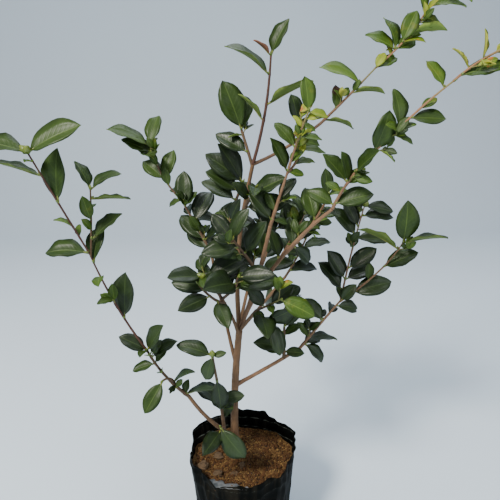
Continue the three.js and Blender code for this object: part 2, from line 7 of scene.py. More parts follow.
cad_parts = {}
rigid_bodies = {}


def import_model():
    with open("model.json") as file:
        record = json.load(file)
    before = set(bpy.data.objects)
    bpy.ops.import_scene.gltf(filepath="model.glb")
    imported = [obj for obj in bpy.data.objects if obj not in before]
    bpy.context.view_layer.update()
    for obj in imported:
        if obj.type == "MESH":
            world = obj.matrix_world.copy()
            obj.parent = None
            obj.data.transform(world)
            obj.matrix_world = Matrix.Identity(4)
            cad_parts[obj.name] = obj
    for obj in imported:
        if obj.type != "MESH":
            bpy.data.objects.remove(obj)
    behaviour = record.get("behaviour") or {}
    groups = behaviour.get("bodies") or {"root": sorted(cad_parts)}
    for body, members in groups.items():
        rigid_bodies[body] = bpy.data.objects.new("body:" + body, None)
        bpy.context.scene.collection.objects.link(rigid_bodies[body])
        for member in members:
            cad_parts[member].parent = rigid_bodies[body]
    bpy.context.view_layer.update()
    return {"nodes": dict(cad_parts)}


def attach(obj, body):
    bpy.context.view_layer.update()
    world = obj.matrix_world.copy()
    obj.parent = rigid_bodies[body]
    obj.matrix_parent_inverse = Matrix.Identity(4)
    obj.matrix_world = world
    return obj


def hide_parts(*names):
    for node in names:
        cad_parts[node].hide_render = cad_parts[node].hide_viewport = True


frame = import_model()
print("frame loaded")


# The growing rule of the construction, in millimetres. A limb starts on its parent at a share of
# its length, or at its end where none is given, and grows from thick to thin on a heading and a
# climb that change evenly by veer and lift, in degrees.
def bough(parent, **own):
    return {"parent": parent, "at": 1, "bark": "grey", **own}


limbs = {
    "trunk": bough(None, length=124, heading=0, climb=91, veer=0, lift=-8, thick=7.4, thin=6.2),
    "low_left_bough": bough("trunk", at=0.1, length=86, heading=250, climb=40, veer=-57, lift=22,
        thick=3.8, thin=3.2),
    "right_bough": bough("trunk", at=0.55, length=71, heading=18, climb=20, veer=-4, lift=7, thick=4,
        thin=3.2, bark="tan"),
    "left_centre_bough": bough("trunk", at=0.72, length=108, heading=131, climb=70, veer=-9, lift=0,
        thick=3.4, thin=2.8),
    "left_front_bough": bough("trunk", at=0.97, length=70, heading=253, climb=59, veer=-17, lift=-8,
        thick=3.2, thin=2.6),
    "centre_front_bough": bough("trunk", length=41, heading=290, climb=43, veer=25, lift=6, thick=2.8,
        thin=2.4),
    "central_leader": bough("trunk", length=152, heading=130, climb=87, veer=-163, lift=-11, thick=4.6,
        thin=3.2),
    "upper_right_bough": bough("central_leader", length=74, heading=31, climb=16, veer=-19, lift=21,
        thick=3, thin=2.6, bark="tan"),
    "upright_bough": bough("trunk", length=110, heading=320, climb=66, veer=-1, lift=9, thick=4, thin=3,
        bark="tan"),
    "long_right_bough": bough("trunk", length=151, heading=324, climb=68, veer=6, lift=-28, thick=3.8,
        thin=2.6, bark="tan"),
    "back_bough": bough("trunk", length=60, heading=80, climb=40, veer=-19, lift=16, thick=3.4,
        thin=2.8),
    "back_right_bough": bough("trunk", length=69, heading=41, climb=32, veer=-3, lift=4, thick=3.2,
        thin=2.6),
}


# The leafy shoots grow by the same rule, bare up to a share, and belong to their parent's foliage
# where mass names no other. From foot to tip, each node has its leaves joined by +, or a dot where
# they have fallen: the side, the length, then c close, w wide, o leaning back or h hanging, and n
# rolled narrow. tones are the lower and the upper leaves' (0 old, 1 mature, 2 fresh, 3 new growth)
# and the share where they change. sprigs is its number of small side twigs, and buds that of the
# plump buds at its tip. dried is a leaf's length, and 1 for its tip or 2 for all of it.
def leafy(parent, **own):
    return {"parent": parent, "at": 1, "bare": 0.1, "tones": (0, 0, 1), "sprigs": 0, "buds": 0,
            "bark": "brown", "dried": (0, 0), **own}


shoots = {
    "foot": leafy("low_left_bough", at=0.3, length=98, heading=268, climb=67, veer=-19, lift=9,
        bare=0.15, tones=(0, 0, 0.6), sprigs=1, buds=1,
        leaves="r24c . lb38w r22w . . f30h . . l32+lf24h+r12w"),
    "foot_low": leafy("foot", at=0.08, length=28, heading=267, climb=10, veer=-3, lift=47, bare=0.3,
        leaves="lf32 f36o"),
    "low_left_lower": leafy("low_left_bough", length=62, heading=200, climb=46, veer=11, lift=22,
        bare=0.02, mass="low_left_foliage", sprigs=2,
        leaves="r30on+r14 . r24wn . r24c+f12 l20w+r18 r26w+f14 l26c+r30+f16"),
    "low_left_middle": leafy("low_left_lower", length=96, heading=207, climb=61, veer=4, lift=12,
        tones=(0, 1, 0.4), sprigs=1, bark="red", leaves=". . r38c . l9 . f18w r30c l33"),
    "low_left_hanging": leafy("low_left_lower", at=0.3, length=21, heading=244, climb=76, veer=-2,
        lift=-75, bare=0.4, tones=(1, 1, 1), leaves="l30"),
    "low_left_tip": leafy("low_left_middle", length=84, heading=229, climb=64, veer=3, lift=0,
        tones=(1, 1, 1), buds=2, bark="red", leaves="b12 l14cn . r38c b12 l30n f10 r40w+l34"),
    "low_left_upright": leafy("low_left_middle", at=0.97, length=49, heading=42, climb=83, veer=43,
        lift=-1, bare=0.15, tones=(1, 1, 1), leaves="r30 f12 l19c b12 r29wn r26+l24cn"),
    "right_inner": leafy("right_bough", at=0.75, length=31, heading=71, climb=92, veer=16, lift=-11,
        bare=0.15, sprigs=1, leaves="r20w+l18w l30w . r20 l24w rf30c+r24"),
    "right_lower": leafy("right_bough", length=61, heading=25, climb=43, veer=-10, lift=3, bare=0,
        mass="right_foliage", sprigs=2, bark="tan",
        leaves="r40cn+r34+r30w l20w . l28w b24 r28 l18+f24"),
    "right_upright": leafy("right_lower", length=94, heading=19, climb=80, veer=1, lift=-7, bare=0.05,
        tones=(0, 0, 0.7), sprigs=2, buds=2, bark="tan",
        leaves="l38 l34+r32 r34 . b20 l34+r34w l30 r32w r30w+l14"),
    "right_tip": leafy("right_lower", at=0.97, length=87, heading=356, climb=37, veer=-47, lift=23,
        tones=(0, 1, 0.5), sprigs=1, bark="tan", leaves="r40c b16 l18 . r34c . l42wn l40c+r38n"),
    "left_centre_lower": leafy("left_centre_bough", length=56, heading=149, climb=57, veer=12, lift=2,
        bare=0, mass="left_centre_foliage", sprigs=2, buds=1,
        leaves="l32c+r34w l38c+r32w f20 r38 b22 f18+r18w+r34c l16w"),
    "left_centre_upper": leafy("left_centre_lower", length=59, heading=168, climb=44, veer=-25, lift=28,
        tones=(0, 1, 0.4), sprigs=2, leaves="b14 r18c l30c+r30 . f16 l30c+f28w l30 r34c+l42"),
    "left_front": leafy("left_front_bough", length=21, heading=241, climb=56, veer=-11, lift=-21,
        sprigs=1, buds=2, leaves="l34+b22 r36w l30c+f18"),
    "left_front_side": leafy("left_front_bough", at=0.7, length=45, heading=248, climb=23, veer=-23,
        lift=32, bare=0.2, sprigs=1, leaves="f30w l30 r26 l26c"),
    "left_front_inner": leafy("left_front_bough", at=0.8, length=42, heading=299, climb=29, veer=-1,
        lift=26, bare=0.2, sprigs=2, leaves="l36w r44w l40 r30"),
    "centre_front": leafy("centre_front_bough", length=38, heading=307, climb=30, veer=-1, lift=3,
        bare=0, tones=(0, 2, 0.75), sprigs=1, leaves="f18 l22w b26c+f14 . r31"),
    "centre_front_low": leafy("centre_front", at=0.1, length=18, heading=296, climb=-44, veer=35,
        lift=35, leaves="f36 l30 r28"),
    "centre_left": leafy("upright_bough", at=0.55, length=61, heading=265, climb=40, veer=-45, lift=10,
        sprigs=2, leaves="r34 l34 . r34 l30 b26+r28"),
    "centre_right": leafy("upright_bough", at=0.5, length=59, heading=58, climb=52, veer=-16, lift=8,
        sprigs=1, bark="tan", leaves="r32 l30c . l34 r30+b28 r30c"),
    "inner_low": leafy("central_leader", at=0.35, length=60, heading=99, climb=26, veer=41, lift=34,
        sprigs=1, leaves="l32 r34 l34 f30 r30 l28"),
    "inner_left": leafy("central_leader", at=0.42, length=76, heading=156, climb=61, veer=-170, lift=7,
        bare=0.3, sprigs=2, leaves="r26 f24 . l36w l36w l42w+l42"),
    "leader_twig": leafy("central_leader", at=0.99, length=32, heading=137, climb=69, veer=-5, lift=-4,
        bare=0.3, tones=(0, 1, 0.5), sprigs=1, leaves="l34 f12 . l14wn r34c+f44c"),
    "leader_low": leafy("central_leader", at=0.72, length=35, heading=281, climb=38, veer=32, lift=13,
        tones=(0, 1, 0.6), sprigs=2, leaves="r38 l24 r34c f26"),
    "tall": leafy("central_leader", length=88, heading=338, climb=71, veer=-54, lift=8, bare=0.2,
        tones=(1, 1, 1), bark="red", dried=(18, 2), leaves="r14c . l30n . r42n . . l42n . r30c+l18n"),
    "upper_right_side": leafy("upper_right_bough", at=0.55, length=21, heading=289, climb=50, veer=17,
        lift=12, bare=0.2, tones=(1, 1, 1), sprigs=1, bark="tan", leaves="r24w l14c . b12 l26c+r16w"),
    "upper_right_middle": leafy("upper_right_bough", length=66, heading=9, climb=42, veer=0, lift=3,
        bare=0, mass="upper_right_foliage", tones=(1, 2, 0.6), sprigs=1, bark="tan", dried=(22, 1),
        leaves="r28n l22 . r30cn+f12 l40o . r24c+l16c"),
    "upper_right_tip": leafy("upper_right_middle", length=83, heading=6, climb=37, veer=1, lift=26,
        bare=0.05, tones=(1, 2, 0.15), sprigs=4, bark="young",
        leaves="r14c l12 l30o+l34+r26c l30c+f20 r34cn l22+b16 r26 l36+f14 r36 l26 r30w+l30w+f18"),
    "upright_middle": leafy("upright_bough", length=46, heading=337, climb=72, veer=13, lift=0, bare=0,
        mass="upright_foliage", tones=(0, 1, 0.5), sprigs=1, bark="tan",
        leaves="l30+r14w l18 r24c b12 . l30+r14w"),
    "upright_tip": leafy("upright_middle", length=48, heading=343, climb=74, veer=2, lift=-6, bare=0.05,
        tones=(1, 2, 0.6), sprigs=2, bark="tan", leaves="r16c . l26 r18w f14c+l12 r16 l26c+r16w"),
    "upright_side": leafy("upright_middle", at=0.98, length=29, heading=31, climb=35, veer=28, lift=34,
        bare=0.2, tones=(1, 2, 0.5), sprigs=1, bark="tan", leaves="r20 l16c r22w f14"),
    "long_right_side": leafy("long_right_bough", at=0.62, length=60, heading=17, climb=38, veer=-44,
        lift=32, tones=(0, 1, 0.6), sprigs=3, bark="tan", leaves="r26w+l26 . f16 l30 f22 . l22c+r18"),
    "long_right_inner": leafy("long_right_bough", at=0.45, length=60, heading=29, climb=45, veer=4,
        lift=16, bare=0.2, tones=(0, 1, 0.8), sprigs=2, bark="tan",
        leaves="l30 r24 f30 . l26 b24 r24+l24"),
    "long_right_middle": leafy("long_right_bough", length=71, heading=312, climb=63, veer=36, lift=-22,
        bare=0, mass="long_right_foliage", tones=(1, 1, 1), sprigs=3, bark="tan",
        leaves="r30+l24w l14w l28w+l25+r18c f29c . l31c . ."),
    "long_right_outer": leafy("long_right_middle", length=49, heading=336, climb=49, veer=1, lift=-11,
        bare=0, tones=(1, 2, 0.5), bark="young", leaves="l28+lf14w+r12c r24 l10c+r14c . l22w ."),
    "long_right_tip": leafy("long_right_outer", length=36, heading=332, climb=44, veer=8, lift=-23,
        bare=0, tones=(2, 3, 0.35), sprigs=1, bark="young",
        leaves="r28c l17wn l18n r14c+b12 l18c+r18c+f12"),
    "back": leafy("back_bough", length=69, heading=79, climb=50, veer=-16, lift=21, bare=0,
        tones=(0, 1, 0.6), sprigs=2, leaves="l34 r36 b32 l36 r32 f28 b30 l32"),
    "back_left": leafy("back_bough", at=0.8, length=65, heading=105, climb=40, veer=39, lift=13,
        bare=0.2, sprigs=2, leaves="l36 r32 b34 l34 f28 r30"),
    "back_right": leafy("back_right_bough", length=69, heading=44, climb=39, veer=3, lift=21, bare=0.05,
        tones=(0, 1, 0.8), sprigs=2, leaves="r36 l32 b34 r34 l30 f26 b30 r28"),
    "back_low": leafy("back_right_bough", at=0.7, length=41, heading=68, climb=-52, veer=-40, lift=66,
        sprigs=1, leaves="r30 b32 l28 f26 r28 b26"),
}

# what holds for all limbs and leaves, in millimetres, degrees and shares
rule = {
    "trunkFoot": (-7, 12, 77.3), "steps": 12, "flare": 0.75, "flareShare": 0.07, "lobes": 3,
    "lobeDepth": 0.12, "thinnest": 1.5, "stepDown": 0.9, "taper": 0.009, "petiole": 0.1,
    "halfWidth": 0.25, "swell": 0.92, "rounding": 0.62, "margin": 0.35, "turnRange": 24,
    "spreads": {"c": 22, "w": 76, "o": 104, "h": 150, "": 46}, "spreadRange": 14, "rollRange": 36,
    "leastBend": 8, "bendRange": 42, "turnsTried": (0, 30, -30, 60, -60), "faceAlong": 0.45,
    "narrowRoll": 52, "light": (0, -0.8, 0.5), "found": 0.15, "youngSize": 20, "youngest": 3,
    "sides": {"l": 0, "lf": 45, "f": 90, "rf": 135, "r": 180, "rb": 225, "b": 270, "lb": 315},
}


def unit(vectors):
    return vectors / np.linalg.norm(vectors, axis=-1, keepdims=True)


def anglesOf(sides):
    # even steps all the way round
    return np.arange(sides) * 2 * np.pi / sides


def drawsFrom(seed, count):
    # state = state * 1664525 + 1013904223 within 2^32, two draws thrown away
    state = seed * 7919 + 12345
    drawn = []
    for _ in range(count + 2):
        state = (state * 1664525 + 1013904223) % 2**32
        drawn.append(state / 2**32)
    return np.array(drawn[2:])


def growPath(start, limb):
    # each step goes (cos climb cos heading, cos climb sin heading, sin climb)
    share = (np.arange(rule["steps"]) + 0.5) / rule["steps"]
    heading = np.radians(limb["heading"] + limb["veer"] * share)
    climb = np.radians(limb["climb"] + limb["lift"] * share)
    ways = np.stack([np.cos(climb) * np.cos(heading), np.cos(climb) * np.sin(heading),
                     np.sin(climb)], 1)
    walked = np.cumsum(ways * limb["length"] / rule["steps"], 0)
    return np.array(start) + np.concatenate([np.zeros((1, 3)), walked])


def stepOn(path, share):
    # which step of the path a share falls in, and how far along that step
    reach = np.asarray(share, float) * (len(path) - 1)
    index = np.minimum(reach.astype(int), len(path) - 2)
    return index, (reach - index)[..., None]


def placeOn(path, share):
    # the point at a share of the path, straight between its points, and the way it goes there
    index, far = stepOn(path, share)
    way = path[index + 1] - path[index]
    return path[index] + way * far, unit(way)


def smoothOn(path, share):
    # a Catmull-Rom curve through the path's points, and the way it goes
    posts = np.concatenate([2 * path[:1] - path[1:2], path, 2 * path[-1:] - path[-2:-1]])
    index, t = stepOn(path, share)
    a, b, c, d = (posts[index + k] for k in range(4))
    place = b + 0.5 * t * (c - a + t * (2 * a - 5 * b + 4 * c - d + t * (3 * (b - c) + d - a)))
    way = 0.5 * (c - a + t * (2 * (2 * a - 5 * b + 4 * c - d) + t * 3 * (3 * (b - c) + d - a)))
    return place, unit(way)


def thickAt(limb, share):
    # an even taper
    return limb["thick"] + (limb["thin"] - limb["thick"]) * share


def growAll():
    # a shoot starts a step thinner than its parent is there and thins with its length
    known = {}
    for name, limb in [*limbs.items(), *shoots.items()]:
        parent = known.get(limb["parent"])
        start = placeOn(parent["path"], limb["at"])[0] if parent else rule["trunkFoot"]
        limb["path"] = growPath(start, limb)
        if name in shoots:
            limb["thick"] = max(rule["thinnest"], thickAt(parent, limb["at"]) * rule["stepDown"])
            limb["thin"] = max(rule["thinnest"], limb["thick"] - rule["taper"] * limb["length"])
            limb.setdefault("mass", parent.get("mass", name + "_foliage"))
        known[name] = limb


def leavesOf(shoot, seed):
    # the shoot's planned leaves, each varied by five draws: place, turn, spread, roll and bend
    nodes = shoot["leaves"].split()
    plan = [(index, *re.match(r"([a-z]+)(\d+)([cwoh]?)(n?)", entry).groups())
            for index, node in enumerate(nodes) for entry in node.split("+") if entry != "."]
    index, sides, sizes, kinds, marks = zip(*plan)
    place, turn, spread, roll, bend = drawsFrom(seed, 5 * len(plan)).reshape(-1, 5).T
    own = rule["margin"] + (1 - 2 * rule["margin"]) * place
    reach = np.minimum(1, (np.array(index) + own) / (len(nodes) - 2 * rule["margin"]))
    turns = np.array([rule["sides"][side] for side in sides])
    spreads = np.array([rule["spreads"][kind] for kind in kinds])
    narrow = np.array([(mark == "n") * (-1 if side[0] == "l" else 1)
                       for mark, side in zip(marks, sides)])
    return {
        "share": shoot["bare"] + (1 - shoot["bare"]) * reach,
        "turn": turns + rule["turnRange"] * (turn - 0.5),
        "spread": spreads + rule["spreadRange"] * (spread - 0.5),
        "size": np.array(sizes, float),
        "roll": rule["narrowRoll"] * narrow + rule["rollRange"] * (roll - 0.5),
        "droop": rule["leastBend"] + rule["bendRange"] * bend,
    }


def asideOf(way, turn):
    # cos turn left + sin turn near, with left level and near square to the way
    left = unit(np.cross([0, -1, 0], way))
    return np.cos(turn) * left + np.sin(turn) * np.cross(way, left)


def setLeaves(point, way, leaf, extraTurn):
    # leafWay = cos spread way + sin spread aside; the face looks to the light and along the shoot,
    # less its part along leafWay, and then rolls
    turn, spread, roll = (np.radians(value)[:, None] for value in
                          (leaf["turn"] + extraTurn, leaf["spread"], leaf["roll"]))
    leafWay = np.cos(spread) * way + np.sin(spread) * asideOf(way, turn)
    lit = way * rule["faceAlong"] + np.array(rule["light"])
    lit = unit(lit - (lit * leafWay).sum(1, keepdims=True) * leafWay)
    face = np.cos(roll) * lit + np.sin(roll) * np.cross(lit, leafWay)
    return {"root": point, "way": leafWay, "face": face, "size": leaf["size"],
            "bend": np.radians(leaf["droop"])}


def midribAt(table, station):
    # root + size/bend (sin(bend s) way + (cos(bend s) - 1) face) for each station s, with the way
    # and the face there
    angle = (table["bend"][:, None] * station)[..., None]
    scale = (table["size"] / table["bend"])[:, None, None]
    way, face = table["way"][:, None], table["face"][:, None]
    middle = table["root"][:, None] + scale * (np.sin(angle) * way + (np.cos(angle) - 1) * face)
    ahead = np.cos(angle) * way - np.sin(angle) * face
    return middle, ahead, np.cos(angle) * face + np.sin(angle) * way


def foundLeaves(shoot, leaf):
    # the turn that the solid kept is the one whose tip is a corner of the solid
    point, way = placeOn(shoot["path"], leaf["share"])
    tries = [setLeaves(point, way, leaf, turn) for turn in rule["turnsTried"]]
    tips = np.stack([midribAt(one, np.ones((len(point), 1)))[0][:, 0] for one in tries])
    mesh = frame["nodes"][shoot["mass"]].data
    corners = np.zeros(len(mesh.vertices) * 3)
    mesh.vertices.foreach_get("co", corners)
    corners = corners.reshape(-1, 3) * 1000
    away = np.linalg.norm(tips[:, :, None] - corners[None, None], axis=-1).min(-1)
    best, kept = away.argmin(0), away.min(0) < rule["found"]
    chosen = {key: np.stack([one[key] for one in tries])[best, np.arange(len(best))]
              for key in tries[0]}
    return {key: value[kept] for key, value in chosen.items()}, leaf["share"][kept]


growAll()
leafTables, planned = [], 0
for seed, shoot in enumerate(shoots.values(), 1):
    leaf = leavesOf(shoot, seed)
    placed, share = foundLeaves(shoot, leaf)
    lower, upper, change = shoot["tones"]
    tone = np.where(share > change, upper, lower) + (placed["size"] <= rule["youngSize"])
    placed["tone"] = np.minimum(tone, rule["youngest"])
    length, dried = shoot["dried"]
    placed["scorch"] = (placed["size"] == length) * float(dried)
    leafTables.append(placed)
    shoot["nodes"] = share
    planned += len(leaf["size"])
print("leaves placed", sum(len(table["size"]) for table in leafTables), "of", planned)

sprig = {
    "seed": 11, "leaves": 4, "thick": 1.1, "thin": 0.7, "points": 5, "rings": 7, "sides": 6,
    "clear": 0.1, "highest": 0.95, "lean": (0.6, 1.3), "rise": 0.3, "length": (6, 12), "curl": 0.25,
    "turnStep": 137.5, "turn": (0, 360), "spread": (18, 62), "size": (8, 15), "roll": (-40, 40),
    "droop": (5, 55), "lowest": 0.55,
}


def growSprigs():
    # short side twigs with a tuft of small leaves, at random shares and sides of their shoots
    random = np.random.default_rng(sprig["seed"])
    many = sprig["leaves"]
    tables, paths = [], []
    for shoot in shoots.values():
        count = shoot["sprigs"]
        if not count:
            continue
        share = random.uniform(shoot["bare"] + sprig["clear"], sprig["highest"], count)
        point, way = placeOn(shoot["path"], share)
        aside = asideOf(way, random.uniform(0, 2 * np.pi, (count, 1)))
        own = unit(way + aside * random.uniform(*sprig["lean"], (count, 1)) + [0, 0, sprig["rise"]])
        length = random.uniform(*sprig["length"], (count, 1))
        reach = np.linspace(0, 1, sprig["points"])[None, :, None]
        curl = aside[:, None] * (reach**2 - reach) * length[:, None] * sprig["curl"]
        paths.append(point[:, None] + own[:, None] * reach * length[:, None] + curl)
        leaf = {key: random.uniform(*sprig[key], count * many)
                for key in ("turn", "spread", "size", "roll", "droop")}
        leaf["turn"] += np.tile(np.arange(many) * sprig["turnStep"], count)
        low = random.uniform(sprig["lowest"], 1, (count, many, 1))
        foot = point[:, None] + own[:, None] * low * length[:, None]
        placed = setLeaves(foot.reshape(-1, 3), np.repeat(own, many, 0), leaf, 0)
        tone = shoot["tones"][1] + np.arange(count * many) % 2
        placed["tone"] = np.minimum(rule["youngest"], tone)
        placed["scorch"] = np.zeros(count * many)
        tables.append(placed)
    return tables, np.concatenate(paths)


sprigTables, sprigPaths = growSprigs()
leafTables += sprigTables
leaves = {key: np.concatenate([table[key] for table in leafTables]) for key in leafTables[0]}
print("sprigs", len(sprigPaths), "leaves in all", len(leaves["size"]))


def addObject(name, data):
    made = bpy.data.objects.new(name, data)
    bpy.context.scene.collection.objects.link(made)
    return made


def addMesh(name, corners, quads, triangles, quadUv, triangleUv, values):
    # a mesh from arrays: corners in millimetres, faces, a UV per face corner, values per corner
    mesh = bpy.data.meshes.new(name)
    mesh.vertices.add(len(corners))
    mesh.vertices.foreach_set("co", (corners * 0.001).astype(np.float32).ravel())
    order = np.concatenate([quads.ravel(), triangles.ravel()]).astype(np.int32)
    starts = np.concatenate([np.arange(len(quads)) * 4,
                             len(quads) * 4 + np.arange(len(triangles)) * 3]).astype(np.int32)
    mesh.loops.add(len(order))
    mesh.loops.foreach_set("vertex_index", order)
    mesh.polygons.add(len(starts))
    mesh.polygons.foreach_set("loop_start", starts)
    mesh.polygons.foreach_set("use_smooth", np.ones(len(starts), bool))
    mesh.update(calc_edges=True)
    layer = mesh.uv_layers.new(name="surface")
    spots = np.concatenate([quadUv.reshape(-1, 2), triangleUv.reshape(-1, 2)])
    layer.data.foreach_set("uv", spots.astype(np.float32).ravel())
    for key, value in values.items():
        attribute = mesh.attributes.new(key, "FLOAT", "POINT")
        attribute.data.foreach_set("value", value.astype(np.float32).ravel())
    mesh.validate()
    return mesh


def addPiece(name, mesh, material, replaced=()):
    piece = addObject(name, mesh)
    mesh.materials.append(material)
    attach(piece, "root")
    if replaced:
        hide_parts(*replaced)
    print(name, len(mesh.loops) - 2 * len(mesh.polygons), "triangles")


def addLoft(name, shape, values, material, replaced=(), mirrored=()):
    # rings[tube, ring, side, xyz], closed by a corner at each end of every tube. The rings turn
    # to the right about the way that the tube goes, so its faces point outwards. Faces in the
    # mirrored columns start a corner later, so that a thin blade is split alike on both sides.
    rings, first, final = shape
    count, length, sides = rings.shape[:3]
    corners = np.concatenate([rings.reshape(count, -1, 3), first[:, None], final[:, None]], 1)
    row, column = np.meshgrid(np.arange(length - 1), np.arange(sides), indexing="ij")
    row, column = row.ravel(), column.ravel()
    after = (column + 1) % sides
    quads = np.stack([row * sides + column, row * sides + after,
                      (row + 1) * sides + after, (row + 1) * sides + column], -1)
    uvRow = np.stack([row, row, row + 1, row + 1], -1) / (length - 1)
    uvColumn = np.stack([column, column + 1, column + 1, column], -1) / sides
    later = np.isin(column, mirrored)
    for table in (quads, uvRow, uvColumn):
        table[later] = np.roll(table[later], -1, axis=1)
    side = np.arange(sides)
    after = (side + 1) % sides
    low, high = np.full(sides, length * sides), np.full(sides, length * sides + 1)
    last = (length - 1) * sides
    caps = np.concatenate([np.stack([low, after, side], -1),
                           np.stack([high, last + side, last + after], -1)])
    capColumn = np.concatenate([np.stack([side + 0.5, side + 1, side], -1),
                                np.stack([side + 0.5, side, side + 1], -1)]) / sides
    capRow = np.repeat([0.0, 1.0], sides)[:, None] * np.ones(3)
    shift = (np.arange(count) * corners.shape[1])[:, None, None]
    quadUv = np.tile(np.stack([uvRow, uvColumn], -1), (count, 1, 1))
    capUv = np.tile(np.stack([capRow, capColumn], -1), (count, 1, 1))
    cornerValues = {}
    for key, value in values.items():
        table = np.broadcast_to(value, (count, length, sides))
        ends = [table.reshape(count, -1), table[:, :1, 0], table[:, -1:, 0]]
        cornerValues[key] = np.concatenate(ends, 1)
    mesh = addMesh(name, corners.reshape(-1, 3), (quads + shift).reshape(-1, 4),
                   (caps + shift).reshape(-1, 3), quadUv, capUv, cornerValues)
    addPiece(name, mesh, material, replaced)


def latticeNoise(x, y, seed):
    # random values on a 64 by 64 lattice, joined smoothly: mix by 3t^2 - 2t^3, from -1 to 1
    table = np.random.default_rng(seed).uniform(-1, 1, (64, 64))
    column, row = np.floor(x).astype(int), np.floor(y).astype(int)
    s, t = x - column, y - row
    s, t = s * s * (3 - 2 * s), t * t * (3 - 2 * t)

    def at(i, j):
        return table[(row + j) % 64, (column + i) % 64]

    return (at(0, 0) * (1 - s) + at(1, 0) * s) * (1 - t) + (at(0, 1) * (1 - s) + at(1, 1) * s) * t


def aroundNoise(angle, along, reach, seed):
    # noise without a seam round a limb, from its angle and its place along
    return latticeNoise(reach * np.cos(angle) + 20 + along, reach * np.sin(angle) + 20 - along, seed)


def roundUpright(angle, radius, height):
    # (radius cos angle, radius sin angle, height)
    return np.stack(np.broadcast_arrays(radius * np.cos(angle), radius * np.sin(angle), height), -1)


def ringsRound(middle, first, second, radius, sides):
    # middle + radius (cos angle first + sin angle second)
    angle = anglesOf(sides)[:, None]
    turned = np.cos(angle) * first[..., None, :] + np.sin(angle) * second[..., None, :]
    return middle[..., None, :] + turned * radius[..., None]


def tubeRings(path, share, radius, sides):
    # rings of the given radius[ring, side] round a smooth curve through the path
    point, way = smoothOn(path, share)
    guide = np.eye(3)[np.abs(unit(path[-1] - path[0])).argmin()]
    first = unit(np.cross(way, guide))
    return ringsRound(point, first, np.cross(way, first), radius, sides), point


class Wire:
    # a socket of a material's nodes that can stand in a sum like a number
    def __init__(self, material, socket=None):
        self.material = material
        self.socket = socket

    def feed(self, target, value):
        if isinstance(value, Wire):
            self.material.node_tree.links.new(value.socket, target)
        else:
            target.default_value = value

    def other(self, kind, settings, sockets, output=0):
        # any other node: its type, settings, socket values or links, and the output that is used
        step = self.material.node_tree.nodes.new(kind)
        for key, value in settings.items():
            setattr(step, key, value)
        for key, value in sockets.items():
            self.feed(step.inputs[key], value)
        return Wire(self.material, step.outputs[output])

    def sum(self, operation, *values):
        return self.other("ShaderNodeMath", {"operation": operation}, dict(enumerate(values)))

    def __add__(self, value):
        return self.sum("ADD", self, value)

    def __radd__(self, value):
        return self.sum("ADD", value, self)

    def __sub__(self, value):
        return self.sum("SUBTRACT", self, value)

    def __rsub__(self, value):
        return self.sum("SUBTRACT", value, self)

    def __mul__(self, value):
        return self.sum("MULTIPLY", self, value)

    def __rmul__(self, value):
        return self.sum("MULTIPLY", value, self)

    def __abs__(self):
        return self.sum("ABSOLUTE", self)

    def between(self, low, high):
        # 0 below low and 1 above high, smooth between
        return self.other("ShaderNodeMapRange", {"interpolation_type": "SMOOTHSTEP"},
                          {"Value": self, "From Min": low, "From Max": high})

    def surface(self, axis):
        # the UV map's X along a limb, leaf or bud, or its Y round it
        uv = self.other("ShaderNodeUVMap", {"uv_map": "surface"}, {})
        return self.other("ShaderNodeSeparateXYZ", {}, {"Vector": uv}, axis)

    def place(self):
        return self.other("ShaderNodeTexCoord", {}, {}, "Object")

    def value(self, name):
        return self.other("ShaderNodeAttribute", {"attribute_name": name}, {}, "Fac")

    def noise(self, scale, detail=3.0, rough=0.55, place=None):
        return self.other("ShaderNodeTexNoise", {}, {"Vector": place or self.place(),
                          "Scale": scale, "Detail": detail, "Roughness": rough})

    def mix(self, share, first, second):
        # a colour between two, by a share
        return self.other("ShaderNodeMix", {"data_type": "RGBA", "clamp_factor": True},
                          {0: share, 6: first, 7: second}, 2)

    def bump(self, height, strength, distance):
        return self.other("ShaderNodeBump", {}, {"Height": height, "Strength": strength,
                          "Distance": distance})

    def paint(self, colour, roughness, relief=None):
        # gives the material its colour, its roughness and, where there is one, its relief
        shader = self.material.node_tree.nodes["Principled BSDF"]
        self.feed(shader.inputs["Base Color"], colour)
        self.feed(shader.inputs["Roughness"], roughness)
        if relief:
            self.feed(shader.inputs["Normal"], relief)
        return self.material


def startMaterial(name, fixed):
    material = bpy.data.materials.new(name)
    material.use_nodes = True
    for key, value in fixed.items():
        material.node_tree.nodes["Principled BSDF"].inputs[key].default_value = value
    return Wire(material)


def shade(red, green, blue):
    # a colour written from 0 to 255, as light: ((c + 0.055) / 1.055)^2.4
    light = ((np.array([red, green, blue]) / 255 + 0.055) / 1.055) ** 2.4
    return (*light.tolist(), 1.0)


leafLooks = [
    {"name": "old", "dark": shade(13, 27, 7), "light": shade(40, 58, 23), "under": shade(70, 86, 36),
     "vein": shade(58, 76, 34), "blotch": shade(28, 42, 12), "speckle": 0.6,
     "roughness": 0.42, "coat": 0.04, "gloss": 0.33},
    {"name": "mature", "dark": shade(26, 44, 11), "light": shade(54, 75, 25),
     "under": shade(88, 106, 44), "vein": shade(80, 101, 44), "blotch": shade(44, 64, 18),
     "speckle": 0.6, "roughness": 0.44, "coat": 0.02, "gloss": 0.24},
    {"name": "fresh", "dark": shade(43, 67, 15), "light": shade(76, 101, 29),
     "under": shade(102, 124, 50), "vein": shade(106, 130, 54), "blotch": shade(88, 98, 28),
     "speckle": 0.7, "roughness": 0.48, "coat": 0.01, "gloss": 0.24},
    {"name": "newGrowth", "dark": shade(92, 114, 24), "light": shade(148, 158, 52),
     "under": shade(146, 150, 56), "vein": shade(164, 156, 74), "blotch": shade(166, 102, 50),
     "speckle": 0.9, "roughness": 0.5, "coat": 0.01, "gloss": 0.24},
]


